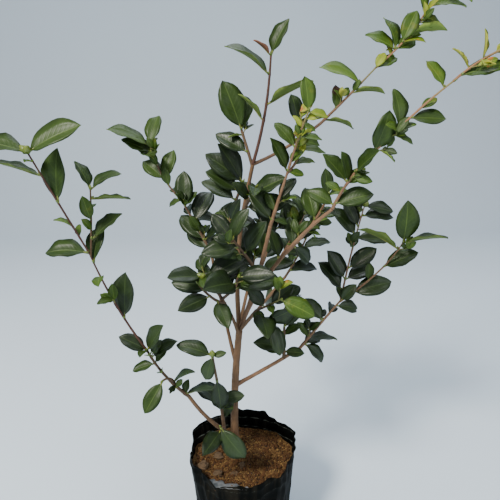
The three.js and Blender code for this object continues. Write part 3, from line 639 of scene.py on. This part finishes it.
def leafMaterial(look):
    # top and underside by the way round the leaf, a pale midrib and side veins, a tint per leaf
    wire = startMaterial(look["name"] + "Leaf", {
        "Coat Weight": look["coat"], "Coat Roughness": 0.3, "Specular IOR Level": look["gloss"]})
    along, across = wire.surface("X"), wire.surface("Y")
    under = across.between(0.495, 0.505)
    sideways = abs(1 - abs(across * 4 - 2))
    midrib = 1 - sideways.between(0.02, 0.07)
    reach = wire.sum("PINGPONG", along * 11 - sideways * 2.6, 0.5) * 2
    veins = (1 - reach.between(0.0, 0.4)) * (1 - sideways.between(0.5, 0.95)) * 0.35
    mottle = wire.noise(160.0, 4.0)
    depth = (wire.value("tint") * 0.75 + mottle * 0.9 - 0.35) - sideways * 0.12
    top = wire.mix(depth, look["dark"], look["light"])
    blotch = wire.noise(90.0).between(0.57, 0.67)
    top = wire.mix(blotch * look["speckle"], top, look["blotch"])
    top = wire.mix(wire.sum("MAXIMUM", midrib * 0.55, veins * 0.25), top, look["vein"])
    low = wire.mix(midrib * 0.6 + veins * 0.3, look["under"], look["vein"])
    scorch = wire.value("scorch")
    burnt = (scorch - 1 + along + mottle * 0.3).between(0.6, 0.75)
    dried = wire.mix(scorch - 1, shade(46, 29, 20), shade(118, 80, 60))
    height = (veins * 0.7 + midrib) * (under * 2 - 1) + mottle * 0.5
    return wire.paint(wire.mix(burnt, wire.mix(under, top, low), dried),
                      look["roughness"] + mottle * 0.16 + under * 0.2 - 0.08,
                      wire.bump(height, 0.34, 0.0006))


blade = {
    "seed": 21, "rings": 12, "foot": 0.085, "span": 0.905, "closed": (0.07, 1), "thick": 0.32,
    "fold": 0.36, "wave": 0.022, "waves": (1.5, 3), "slim": (0.92, 1.08), "narrowest": 0.35,
    "tip": 0.25, "base": 0.2,
}


def bladeRings(table, random):
    # half width = 0.25 size sin(pi q^0.92)^(0.62 + 0.25 q^6 + 0.2 (1 - q)^4), q = (s - 0.1) / 0.9;
    # the blade rises by fold |v|^1.4 of it at v across, and its edge waves a little
    size = table["size"][:, None]
    count = len(size)
    step = np.linspace(0, 1, blade["rings"])
    station = blade["foot"] + blade["span"] * (step - 0.1 * np.sin(2 * np.pi * step) / np.pi)
    q = np.clip((station - rule["petiole"]) / (1 - rule["petiole"]), 0, 1)
    power = rule["rounding"] + blade["tip"] * q**6 + blade["base"] * (1 - q) ** 4
    oval = np.sin(np.pi * q ** rule["swell"]) ** power
    slim = random.uniform(*blade["slim"], (count, 1))
    half = np.maximum(blade["narrowest"], oval * rule["halfWidth"] * size * slim)[..., None]
    middle, way, face = midribAt(table, np.tile(station, (count, 1)))
    across = np.cross(face, way)
    v = np.array([1, 0.5, 0, -0.5, -1, -0.5, 0, 0.5])  # over the top and back underneath
    under = np.array([0, 0, 0, 0, 0, 1, 1, 1])
    wave = np.sin(2 * np.pi * (random.uniform(*blade["waves"], (count, 1)) * station
                               + random.uniform(0, 1, (count, 1))))[..., None]
    rise = half * blade["fold"] * np.abs(v) ** 1.4
    rise = rise + wave * blade["wave"] * size[..., None] * v**2 * np.sign(v)
    rise = rise - blade["thick"] * under * (1 - 0.5 * np.abs(v))
    rings = (middle[:, :, None] + across[:, :, None] * (half * v)[..., None]
             + face[:, :, None] * rise[..., None])
    first, final = (midribAt(table, np.full((count, 1), end))[0][:, 0] for end in blade["closed"])
    return rings, first, final


def addLeaves():
    # one piece for each tone, with a random tint per leaf
    random = np.random.default_rng(blade["seed"])
    leaves["tint"] = random.uniform(0, 1, len(leaves["size"]))
    for tone, look in enumerate(leafLooks):
        table = {key: value[leaves["tone"] == tone] for key, value in leaves.items()}
        values = {key: table[key][:, None, None] for key in ("tint", "scorch")}
        addLoft(look["name"] + "Leaves", bladeRings(table, random), values, leafMaterial(look),
                mirrored=(4, 5, 6, 7))


stalk = {"rings": 9, "sides": 6, "thick": 0.85, "reach": 0.8, "leafSize": 30}


def stalkMaterial():
    # green, with soft spots of a paler green
    wire = startMaterial("leafStalk", {})
    spots = wire.noise(220.0).between(0.35, 0.65)
    return wire.paint(wire.mix(spots, shade(78, 92, 34), shade(122, 124, 52)), 0.5)


def addStalks():
    # a stalk from each leaf's root, running on under its blade as the midrib, ever thinner:
    # radius = thick (0.18 + 0.82 (1 - share)^1.2), less up to 0.15 of it half-way
    share = np.linspace(0, 1, stalk["rings"])
    station = np.tile(share * stalk["reach"], (len(leaves["size"]), 1))
    middle, way, face = midribAt(leaves, station)
    thick = stalk["thick"] * np.clip(leaves["size"] / stalk["leafSize"], 0.5, 1.1)[:, None]
    radius = thick * (0.18 + 0.82 * (1 - share) ** 1.2) * (1 - 0.15 * np.sin(np.pi * share))
    below = (blade["thick"] * 0.6 + radius * 0.85) * np.clip(station / 0.1 - 0.5, 0, 1)
    middle = middle - face * below[..., None]
    rings = ringsRound(middle, np.cross(face, way), face, radius[..., None], stalk["sides"])
    addLoft("leafStalks", (rings, middle[:, 0], middle[:, -1]), {}, stalkMaterial())


addLeaves()
addStalks()
print("leaves")

barkLooks = {
    "grey": (shade(68, 48, 30), shade(124, 93, 62), shade(38, 28, 20)),
    "brown": (shade(57, 41, 26), shade(100, 76, 50), shade(36, 27, 18)),
    "tan": (shade(80, 54, 36), shade(148, 114, 84), shade(60, 40, 28)),
    "red": (shade(60, 34, 26), shade(92, 58, 42), shade(36, 21, 17)),
    "young": (shade(116, 78, 50), shade(170, 126, 90), shade(80, 50, 34)),
}


def barkMaterial(kind):
    # long streaks along the limb, pale patches, dark cracks, and green towards a young tip
    low, high, crack = barkLooks[kind]
    wire = startMaterial(kind + "Bark", {})
    turn = wire.surface("Y") * 6.2832
    streakPlace = wire.other("ShaderNodeCombineXYZ", {}, {
        0: wire.sum("COSINE", turn) * 3, 1: wire.sum("SINE", turn) * 3, 2: wire.value("along") * 0.09})
    streaks = wire.noise(1.6, 5.0, 0.65, streakPlace)
    patches = wire.noise(110.0, 4.0, 0.65)
    colour = wire.mix(streaks + patches * 1.1 - 0.6, low, high)
    colour = wire.mix(1 - streaks.between(0.3, 0.42), colour, crack)
    colour = wire.mix(wire.value("green"), colour, shade(112, 120, 60))
    return wire.paint(colour, 0.62 + streaks * 0.3, wire.bump(streaks + patches * 0.4, 0.6, 0.0007))


materials = {kind: barkMaterial(kind) for kind in barkLooks}
bark = {
    "trunk": {"rings": 150, "sides": 40, "seed": 5},
    "bough": {"rings": 90, "sides": 20, "seed": 40, "end": 1, "sideCollar": 0.45, "endCollar": 0.15},
    "shoot": {"rings": 64, "sides": 10, "seed": 90, "end": 0.95, "sideCollar": 0.35, "endCollar": 0.1},
    "collarReach": 5.0, "knot": 0.13, "knotReach": 1.3, "narrower": 0.25,
}


def limbRings(limb, kind, index):
    # radius tapers evenly; it swells by a collar at the foot, larger on a parent's side than on its
    # end, and by a ring at each leaf node, and carries long ridges and small lumps
    share = np.linspace(0, 1, kind["rings"])
    length = limb["length"]
    angle = anglesOf(kind["sides"])
    seed = kind["seed"] + index
    far = share[:, None] * length
    ridges = aroundNoise(angle, far * 0.05, 1.6, seed) * 0.07
    lumps = aroundNoise(angle, far * 0.35, 0.7, seed + 1) * 0.04
    knots = sum(np.exp(-(((share - node) * length / bark["knotReach"]) ** 2))
                for node in limb.get("nodes", ()))
    collar = kind["sideCollar" if limb["at"] < kind["end"] else "endCollar"]
    swell = collar * np.exp(-share * length / bark["collarReach"]) + bark["knot"] * np.minimum(knots, 1.2)
    radius = (thickAt(limb, share) / 2)[:, None] * (1 + ridges + lumps + swell[:, None])
    return *tubeRings(limb["path"], share, radius, kind["sides"]), share


def trunkRings(limb, kind):
    # level rings; radius = taper (1 + flare fade) (1 + lobe depth fade cos(lobes angle + 1)), fade
    # = exp(-share / flare share), with ridges that follow the lobes up the trunk
    share = np.linspace(0, 1, kind["rings"]) ** 1.15
    point, way = smoothOn(limb["path"], share)
    angle = anglesOf(kind["sides"])
    fade = np.exp(-share / rule["flareShare"])[:, None]
    far = share[:, None] * limb["length"]
    ridges = aroundNoise(angle, far * 0.035, 2.4, kind["seed"]) * 0.06
    ridges = ridges + aroundNoise(angle, far * 0.3, 0.8, kind["seed"] + 1) * 0.035
    lobes = 1 + rule["lobeDepth"] * fade * np.cos(rule["lobes"] * angle + 1)
    reach = (thickAt(limb, share) / 2)[:, None] * (1 + rule["flare"] * fade) * lobes * (1 + ridges)
    return point[:, None] + roundUpright(angle, reach, 0.0), point, share


def addLimbs():
    # one piece over each limb of the construction
    for index, (name, limb) in enumerate(limbs.items()):
        if name == "trunk":
            rings, point, share = trunkRings(limb, bark["trunk"])
        else:
            rings, point, share = limbRings(limb, bark["bough"], index)
        values = {"along": (share * limb["length"])[:, None], "green": 0.0}
        addLoft(name + "Bark", (rings[None], point[:1], point[-1:]), values,
                materials[limb["bark"]], [name])


def addTwigs():
    # one piece for each colour of bark, and the first stands for all the construction's foliage
    replaced = sorted({shoot["mass"] for shoot in shoots.values()})
    for kind in ("brown", "tan", "red", "young"):
        made = []
        chosen = [shoot for shoot in shoots.values() if shoot["bark"] == kind]
        for index, shoot in enumerate(chosen):
            rings, point, share = limbRings(shoot, bark["shoot"], index)
            narrow = (1 - bark["narrower"] * share**3)[:, None, None]
            rings = point[:, None] + (rings - point[:, None]) * narrow
            green = np.clip(share * 1.6 - 0.9, 0, 0.6) * (shoot["tones"][1] >= 2)
            made.append((rings, point[0], point[-1], share * shoot["length"], green))
        rings, first, final, long, green = (np.array(column) for column in zip(*made))
        addLoft(kind + "Twigs", (rings, first, final),
                {"along": long[..., None], "green": green[..., None]}, materials[kind], replaced)
        replaced = ()


def addSprigTwigs():
    # plain tubes along the sprigs' paths
    share = np.linspace(0, 1, sprig["rings"])
    radius = thickAt(sprig, share)[:, None] / 2
    made = [tubeRings(path, share, radius, sprig["sides"]) for path in sprigPaths]
    rings, point = (np.array(column) for column in zip(*made))
    addLoft("sprigTwigs", (rings, point[:, 0], point[:, -1]),
            {"along": (share * 10)[:, None], "green": 0.6}, materials["tan"])


addLimbs()
addTwigs()
addSprigTwigs()
print("bark")

bud = {
    "seed": 31, "rings": 9, "sides": 10, "lean": 1.7,
    "plump": {"length": 7.5, "radius": 2.6, "sunk": 1.0},
    "slender": {"length": 5.0, "radius": 0.95, "sunk": 0.8},
    "small": {"length": 2.8, "radius": 0.9, "leafSize": 30, "least": 0.3, "lean": 0.6, "out": 0.5},
}


def budRings(root, way, length, radius, random):
    # an oval, its radius sin(pi s^0.8)^0.75 at a share s from the root, with two low spirals on it:
    # 1 + 0.09 cos(5 pi s + 2 angle)
    s = np.linspace(0.04, 0.96, bud["rings"])
    across = unit(np.cross(way, random.uniform(-1, 1, (len(root), 3))))
    scales = 1 + 0.09 * np.cos(5 * np.pi * s[:, None] + 2 * anglesOf(bud["sides"]))
    wide = (np.sin(np.pi * s**0.8) ** 0.75)[:, None] * scales
    middle = root[:, None] + way[:, None] * (s[None, :, None] * length[:, None, None])
    rings = ringsRound(middle, across[:, None], np.cross(way, across)[:, None],
                       radius[:, None, None] * wide, bud["sides"])
    return rings, root, root + way * length[:, None]


def budMaterial():
    # green, paler towards the tip
    wire = startMaterial("bud", {"Coat Weight": 0.1})
    spots = wire.noise(300.0)
    share = wire.surface("X") * 0.8 + spots * 0.5 - 0.2
    return wire.paint(wire.mix(share, shade(62, 82, 22), shade(106, 120, 42)), 0.42,
                      wire.bump(spots, 0.3, 0.0004))


def addBuds():
    # plump buds at some tips, where two lean apart, a slender one at the other tips, and a small
    # one where each leaf stands
    random = np.random.default_rng(bud["seed"])
    made = []
    for shoot in shoots.values():
        point, way = placeOn(shoot["path"], 1.0)
        level = unit(np.cross([0, 0, 1], way))
        count = shoot["buds"]
        kind = bud["plump" if count else "slender"]
        for index in range(max(count, 1)):
            lean = (index - 0.5) * bud["lean"] if count > 1 else 0
            own = unit(way + level * lean)
            made.append((point - own * kind["sunk"], own, kind["length"], kind["radius"]))
    roots, ways, lengths, radii = (np.array(column) for column in zip(*made))
    small = bud["small"]
    side = unit(leaves["way"] + leaves["face"] * small["lean"])
    size = np.clip(leaves["size"] / small["leafSize"], small["least"], 1)
    roots = np.concatenate([roots, leaves["root"] + side * small["out"]])
    lengths = np.concatenate([lengths, small["length"] * size])
    radii = np.concatenate([radii, small["radius"] * size])
    shape = budRings(roots, np.concatenate([ways, side]), lengths, radii, random)
    addLoft("buds", shape, {}, budMaterial())
    print("buds at tips", len(made), "and at leaves", len(side))


addBuds()

pot = {
    "height": 88, "foot": 43, "rim": 49.5, "film": 0.5, "rise": 7, "fold": 0.9,
    "ripples": ((5, 1.4, 1), (11, 0.8, 2.1), (23, 0.4, 0.4)),
    "folds": 9, "wander": 2, "gusset": 17, "gussetReach": 6.0, "gussetWidth": 8, "sides": 300,
    "outerRings": 70, "innerRings": 34, "innerFoot": 66, "innerFloor": 62.0, "base": 0.4,
}


def wallRadius(angle, height):
    # foot + (rim - foot) t + fold t sin(9 angle + 2 t) + the corner's reach t^2 exp(-|away/8|^1.2)
    share = height / pot["height"]
    folds = pot["fold"] * share * np.sin(pot["folds"] * angle + pot["wander"] * share)
    turned = angle - np.radians(pot["gusset"])
    away = np.arctan2(np.sin(turned), np.cos(turned)) / np.radians(pot["gussetWidth"])
    corner = pot["gussetReach"] * share**2 * np.exp(-np.abs(away) ** 1.2)
    return pot["foot"] + (pot["rim"] - pot["foot"]) * share + folds + corner


def rimHeight(angle):
    # height + rise sin(angle) + ripples, size sin(number angle + start), and torn dips of noise
    level = pot["height"] + pot["rise"] * np.sin(angle)
    for number, size, start in pot["ripples"]:
        level = level + size * np.sin(number * angle + start)
    torn = aroundNoise(angle, 0, 3.5, 55) * 1.6 + aroundNoise(angle, 0, 9.0, 56) * 0.9
    return level + torn


def levelFolds(angle, height):
    # 0.5 - |sin(height / 3.1 + noise)|, and how much of it the film has: all of it near the rim
    level = 0.5 - np.abs(np.sin(height / 3.1 + 1.6 * aroundNoise(angle, 0, 1.5, 54)))
    return level, np.clip(height / pot["height"] * 3 - 2, 0, 1)


def filmRadius(angle, height):
    # the wall with sharp upright creases, 1.1 - 2.6 |noise|, fine ones and dents, all stronger
    # towards the rim, and level folds near it
    share = height / pot["height"]
    creases = 1.1 - 2.6 * np.abs(aroundNoise(angle, height * 0.012, 5.0, 51))
    fine = aroundNoise(angle, height * 0.03, 14.0, 52) * 0.5
    dents = aroundNoise(angle, height * 0.06, 2.2, 53) * 1.1
    level, much = levelFolds(angle, height)
    crumple = (creases * 0.8 + fine + dents) * (0.3 + 0.7 * share) + level * 1.1 * much
    return wallRadius(angle, height) + crumple


def filmMaterial():
    # black film with upright streaks of dust, and painted highlights as light lines where its level folds
    # turn
    wire = startMaterial("potFilm", {"Specular IOR Level": 0.04})
    streakPlace = wire.other("ShaderNodeVectorMath", {"operation": "MULTIPLY"},
                             {0: wire.place(), 1: (60.0, 60.0, 9.0)})
    streaks = wire.noise(3.0, 5.0, 0.6, streakPlace)
    dust = wire.noise(26.0, 4.0)
    dusty = (streaks * 0.7 + dust * 0.6).between(0.62, 0.86)
    colour = wire.mix(dusty * 0.4, shade(2, 4, 3), shade(46, 43, 36))
    # painted highlight: pale bluish-grey lines on the ridges of the level folds
    lines = wire.value("foldHighlight").between(0, 1) * streaks.between(0.35, 0.7)
    colour = wire.mix(lines * 0.8, colour, shade(112, 120, 112))
    return wire.paint(colour, 0.58 + dusty * 0.3, wire.bump(streaks + dust * 0.5, 0.4, 0.0012))


def addPot():
    # rings up the outside, over the rim and down the inside, to below the soil; a painted highlight
    # lies where a level fold turns, fainter on the outside
    angle = anglesOf(pot["sides"])
    rim = rimHeight(angle)
    up = np.linspace(0, 1, pot["outerRings"])[:, None]
    outHeight = pot["base"] + (rim - pot["base"]) * up
    outRadius = filmRadius(angle, outHeight) - 1.6 * np.exp(-outHeight / 1.2)
    down = np.linspace(0, 1, pot["innerRings"])[:, None]
    inHeight = rim - (rim - pot["innerFoot"]) * down
    inRadius = filmRadius(angle, inHeight) - pot["film"]
    lip = (outRadius[-1:] + inRadius[:1]) / 2
    under = np.array([0.3, 0.6, 0.9])[:, None] * outRadius[:1]
    height = np.concatenate([np.zeros(under.shape), outHeight, rim[None] + 0.25, inHeight])
    radius = np.concatenate([under, outRadius, lip, inRadius])
    level, much = levelFolds(angle, height)
    inside = np.arange(len(height))[:, None] >= len(height) - len(inHeight)
    # painted highlight along the ridge of each level fold, strongest inside near the rim, fainter outside
    foldHighlight = (1.2 - np.abs(level - 0.42) * 9) * np.minimum(1, much * 4) * np.where(inside, 1, 0.35)
    ends = np.array([[0, 0, 0.0]]), np.array([[0, 0, pot["innerFloor"]]])
    addLoft("potFilm", (roundUpright(angle, radius, height)[None], *ends), {"foldHighlight": foldHighlight},
            filmMaterial(), ["nursery_pot"])


soil = {
    "level": 77, "hump": 1.6, "seat": 14, "lumps": (9, 11, 5), "sides": 220, "rings": 90,
    "underside": 63.0, "grains": ((6, 0.9), (2.6, 0.6), (1.2, 0.35)), "seed": 61, "crumbSeed": 71,
}


def fromTrunk(x, y):
    # how far a place on the soil is from the trunk's middle
    return np.hypot(x - rule["trunkFoot"][0], y - rule["trunkFoot"][1])


def soilHeight(x, y):
    # the construction's level and lumps, flat where the trunk stands
    a, b, c = soil["lumps"]
    lumps = np.sin(x / a + 1) * np.cos(y / b) + 0.5 * np.sin((x + y) / c)
    away = (fromTrunk(x, y) - soil["seat"]) / soil["seat"]
    return soil["level"] + soil["hump"] * (lumps - 1) * np.clip(away, 0, 1)


def grains(x, y):
    # three sizes of clods and grains on the soil
    return sum(latticeNoise(x / wide + 30, y / wide + 30, soil["seed"] + index) * high
               for index, (wide, high) in enumerate(soil["grains"]))


filmFold = {
    "from": 222, "sweep": 62, "height": 78.0, "rings": 60, "sides": 16, "wide": 4.6, "gap": 0.4,
    "above": 0.9, "rise": 2.6, "crease": 1.6, "thick": 0.35,
}


def filmFoldMaterial():
    # the black film painted dark grey as its sheen, cloudy with paler and duller patches of dust
    wire = startMaterial("filmFold", {})
    cloud = wire.noise(120.0, 5.0, 0.6)
    # painted sheen: dark grey to pale grey on a film that is black, the paler parts rougher with dust
    colour = wire.mix(cloud.between(0.35, 0.65), shade(46, 52, 56), shade(104, 106, 108))
    return wire.paint(colour, 0.3 + cloud * 0.3, wire.bump(cloud, 0.5, 0.0012))


def addFilmFold():
    # a fold of the film that lies on the soil inside the front of the rim: flat rings along an arc
    share = np.linspace(0, 1, filmFold["rings"])
    turn = np.radians(filmFold["from"] + filmFold["sweep"] * share)
    wall = filmRadius(turn, filmFold["height"]) - pot["film"]
    wide = filmFold["wide"] * np.sin(np.pi * (0.04 + 0.92 * share)) ** 0.6
    wide = wide * (1 + 0.5 * aroundNoise(turn, 0, 9.0, 57))
    side = anglesOf(filmFold["sides"])
    radius = (wall - wide + filmFold["gap"])[:, None] + wide[:, None] * np.cos(side)
    x, y = radius * np.cos(turn)[:, None], radius * np.sin(turn)[:, None]
    crease = 0.9 * np.abs(aroundNoise(turn[:, None], radius * 0.5, 12.0, 58))
    slope = np.clip((radius - (wall - 2 * wide)[:, None]) / (2 * wide[:, None]), 0, 1)
    z = (soilHeight(x, y) + filmFold["above"] + filmFold["rise"] * slope**2
         + filmFold["crease"] * crease + filmFold["thick"] * np.sin(side))
    rings = np.stack([x, y, z], -1)
    shape = rings[None], rings[:1].mean(1), rings[-1:].mean(1)
    addLoft("filmFold", shape, {}, filmFoldMaterial())


def soilMaterial(name, low, high, speck):
    # cloudy between the low and high colours, with small specks
    wire = startMaterial(name, {"Specular IOR Level": 0.25})
    broad = wire.noise(55.0, 5.0, 0.65)
    fine = wire.noise(520.0, 4.0, 0.7)
    colour = wire.mix(broad * 0.8 + fine * 0.6 - 0.25, low, high)
    colour = wire.mix(fine.between(0.64, 0.72) * 0.6, colour, speck)
    return wire.paint(colour, 0.82 + fine * 0.18, wire.bump(fine + broad * 0.6, 0.8, 0.0012))


def addSoil():
    # rings from under the edge, up to the film and in over the top to its middle
    angle = anglesOf(soil["sides"])
    share = np.linspace(1, 0.012, soil["rings"])[:, None] ** 0.9
    wall = filmRadius(angle, soil["level"]) - pot["film"]
    radius = share * (wall - 0.1)
    x, y = radius * np.cos(angle), radius * np.sin(angle)
    top = soilHeight(x, y) + grains(x, y) * np.clip((1.02 - share) * 12, 0.15, 1) - 0.5
    low = roundUpright(angle, 0.9 * wall, soil["underside"])
    rings = np.concatenate([low[None], np.stack([x, y, top], -1)])
    ends = np.array([[0, 0, soil["underside"]]]), np.array([[0, 0, top[-1].mean()]])
    material = soilMaterial("soil", shade(72, 50, 27), shade(104, 79, 45), shade(150, 112, 62))
    addLoft("soilTop", (rings[None], *ends), {}, material, ["potting_soil"])


crumbs = {
    "brown": {"count": 3300, "size": (0.3, 1.9), "low": shade(60, 38, 20), "high": shade(92, 62, 34)},
    "golden": {"count": 3100, "size": (0.2, 0.8), "low": shade(114, 86, 46), "high": shade(156, 126, 76)},
    "dark": {"count": 1200, "size": (0.3, 1.4), "low": shade(38, 26, 17), "high": shade(62, 42, 28)},
    "clod": {"count": 7, "size": (3.5, 7.0), "rings": 16, "sides": 22, "flat": 0.5,
             "towards": (3.9, 0.5), "low": shade(74, 58, 42), "high": shade(98, 80, 60)},
}


def crumbShape(random, kind):
    # round lumps with uneven sides, mostly small: least + (most - least) draw^3; they lie on the
    # soil as far as the film, all round or towards one side
    count = kind["count"]
    least, most = kind["size"]
    radius = least + (most - least) * random.uniform(0, 1, count) ** 3
    away = np.sqrt(random.uniform(0, 1, count))
    turn = (random.normal(*kind["towards"], count) if "towards" in kind
            else random.uniform(0, 2 * np.pi, count))
    away = away * (filmRadius(turn, soil["level"]) - pot["film"] - 1 - 1.3 * radius)
    x, y = away * np.cos(turn), away * np.sin(turn)
    clear = fromTrunk(x, y) > soil["seat"] / 2
    x, y, radius = x[clear], y[clear], radius[clear][:, None]
    middle = np.stack([x, y, soilHeight(x, y) + grains(x, y) - 0.5 + radius[:, 0] * 0.25], -1)
    theta = np.linspace(0.3, np.pi - 0.3, kind.get("rings", 3))[:, None]
    angle = anglesOf(kind.get("sides", 6))
    turned = angle + random.uniform(0, 6, (len(x), 1, 1))
    drift = theta * 1.3 + random.uniform(0, 40, (len(x), 1, 1))
    uneven = 1 + 0.4 * aroundNoise(turned, drift, 0.9, 81) + 0.25 * aroundNoise(turned, drift * 3, 2.6, 82)
    squash = random.uniform(0.7, 1.2, (len(x), 1, 1, 3)) * [1, 1, kind.get("flat", 0.75)]
    ball = roundUpright(angle, np.sin(theta), -np.cos(theta))
    rings = middle[:, None, None] + ball * squash * (uneven * radius[..., None])[..., None]
    pole = np.array([0, 0, 0.9]) * squash[:, 0, 0] * radius
    return rings, middle - pole, middle + pole


def addCrumbs():
    random = np.random.default_rng(soil["crumbSeed"])
    for name, kind in crumbs.items():
        material = soilMaterial(name + "Crumb", kind["low"], kind["high"], shade(150, 110, 66))
        addLoft(name + "Crumbs", crumbShape(random, kind), {}, material)


addPot()
addFilmFold()
addSoil()
addCrumbs()
print("pot and soil")

# the floor, the lamps and the camera, in metres and degrees
stage = {"front": -2.5, "bendAt": 1.2, "bend": 0.8, "back": 2.0, "top": 3.5, "wide": 3.5}
lamps = {
    "keyLamp": dict(place=(-0.8, -0.95, 1.45), aim=0.25, size=0.4, power=50, colour=(1.0, 0.95, 0.86)),
    "fillLamp": dict(place=(1.2, -1.0, 0.7), aim=0.25, size=1.2, power=11, colour=(0.93, 0.96, 1.0)),
    "topLamp": dict(place=(0.2, 0.5, 1.6), aim=0.3, size=1.0, power=14, colour=(0.9, 0.95, 1.0)),
}
view = {"eye": (0.0105, -0.410, 0.394), "down": 15.4, "roll": 0.9, "lens": 36, "frame": 36}
sky = {"Color": (0.86, 0.91, 1.0, 1), "Strength": 0.44}


def addStage():
    # a pale floor that curves up behind: y and z along a profile, the same for every x
    turn = np.linspace(0, np.pi / 2, 24)
    y = np.concatenate([[stage["front"]], stage["bendAt"] + stage["bend"] * np.sin(turn), [stage["back"]]])
    z = np.concatenate([[0.0], stage["bend"] - stage["bend"] * np.cos(turn), [stage["top"]]])
    x = np.linspace(-stage["wide"], stage["wide"], 12)
    count, wide = len(y), len(x)
    corners = np.stack([np.tile(x, count), np.repeat(y, wide), np.repeat(z, wide)], -1) * 1000
    row, column = np.meshgrid(np.arange(count - 1), np.arange(wide - 1), indexing="ij")
    first = (row * wide + column).ravel()
    quads = np.stack([first, first + 1, first + 1 + wide, first + wide], -1)
    uv = np.zeros((len(quads), 4, 2))
    mesh = addMesh("floor", corners, quads, np.zeros((0, 3), int), uv, np.zeros((0, 3, 2)), {})
    wire = startMaterial("floor", {})
    cloud = wire.noise(1.5)
    colour = wire.mix(cloud, shade(198, 212, 223), shade(206, 219, 229))
    mesh.materials.append(wire.paint(colour, 0.85 + cloud * 0.1))
    addObject("floor", mesh)


def addLamp(name, place, aim, size, power, colour):
    # a round lamp that looks at a height on the plant's upright middle
    light = bpy.data.lights.new(name, "AREA")
    light.shape = "DISK"
    light.size = size
    light.energy = power
    light.color = colour
    lamp = addObject(name, light)
    lamp.location = place
    lamp.rotation_euler = (Vector((0, 0, aim)) - Vector(place)).to_track_quat("-Z", "Y").to_euler()


def addCamera():
    # right, top and back of the camera, looking down and a little rolled, as columns of a matrix
    pitch, roll = np.radians(view["down"]), np.radians(view["roll"])
    ahead = np.array([0, np.cos(pitch), -np.sin(pitch)])
    level, upward = np.array([1.0, 0, 0]), np.array([0, np.sin(pitch), np.cos(pitch)])
    right = level * np.cos(roll) - upward * np.sin(roll)
    top = upward * np.cos(roll) + level * np.sin(roll)
    turned = Matrix(np.stack([right, top, -ahead], 1).tolist()).to_4x4()
    data = bpy.data.cameras.new("camera")
    data.lens = view["lens"]
    data.sensor_fit = "HORIZONTAL"
    data.sensor_width = data.sensor_height = view["frame"]
    data.clip_start, data.clip_end = 0.01, 20
    camera = addObject("camera", data)
    camera.matrix_world = Matrix.Translation(view["eye"]) @ turned
    bpy.context.scene.camera = camera


addStage()
for name, lamp in lamps.items():
    addLamp(name, **lamp)
addCamera()
world = bpy.data.worlds.new("world")
world.use_nodes = True
for key, value in sky.items():
    world.node_tree.nodes["Background"].inputs[key].default_value = value
bpy.context.scene.world = world
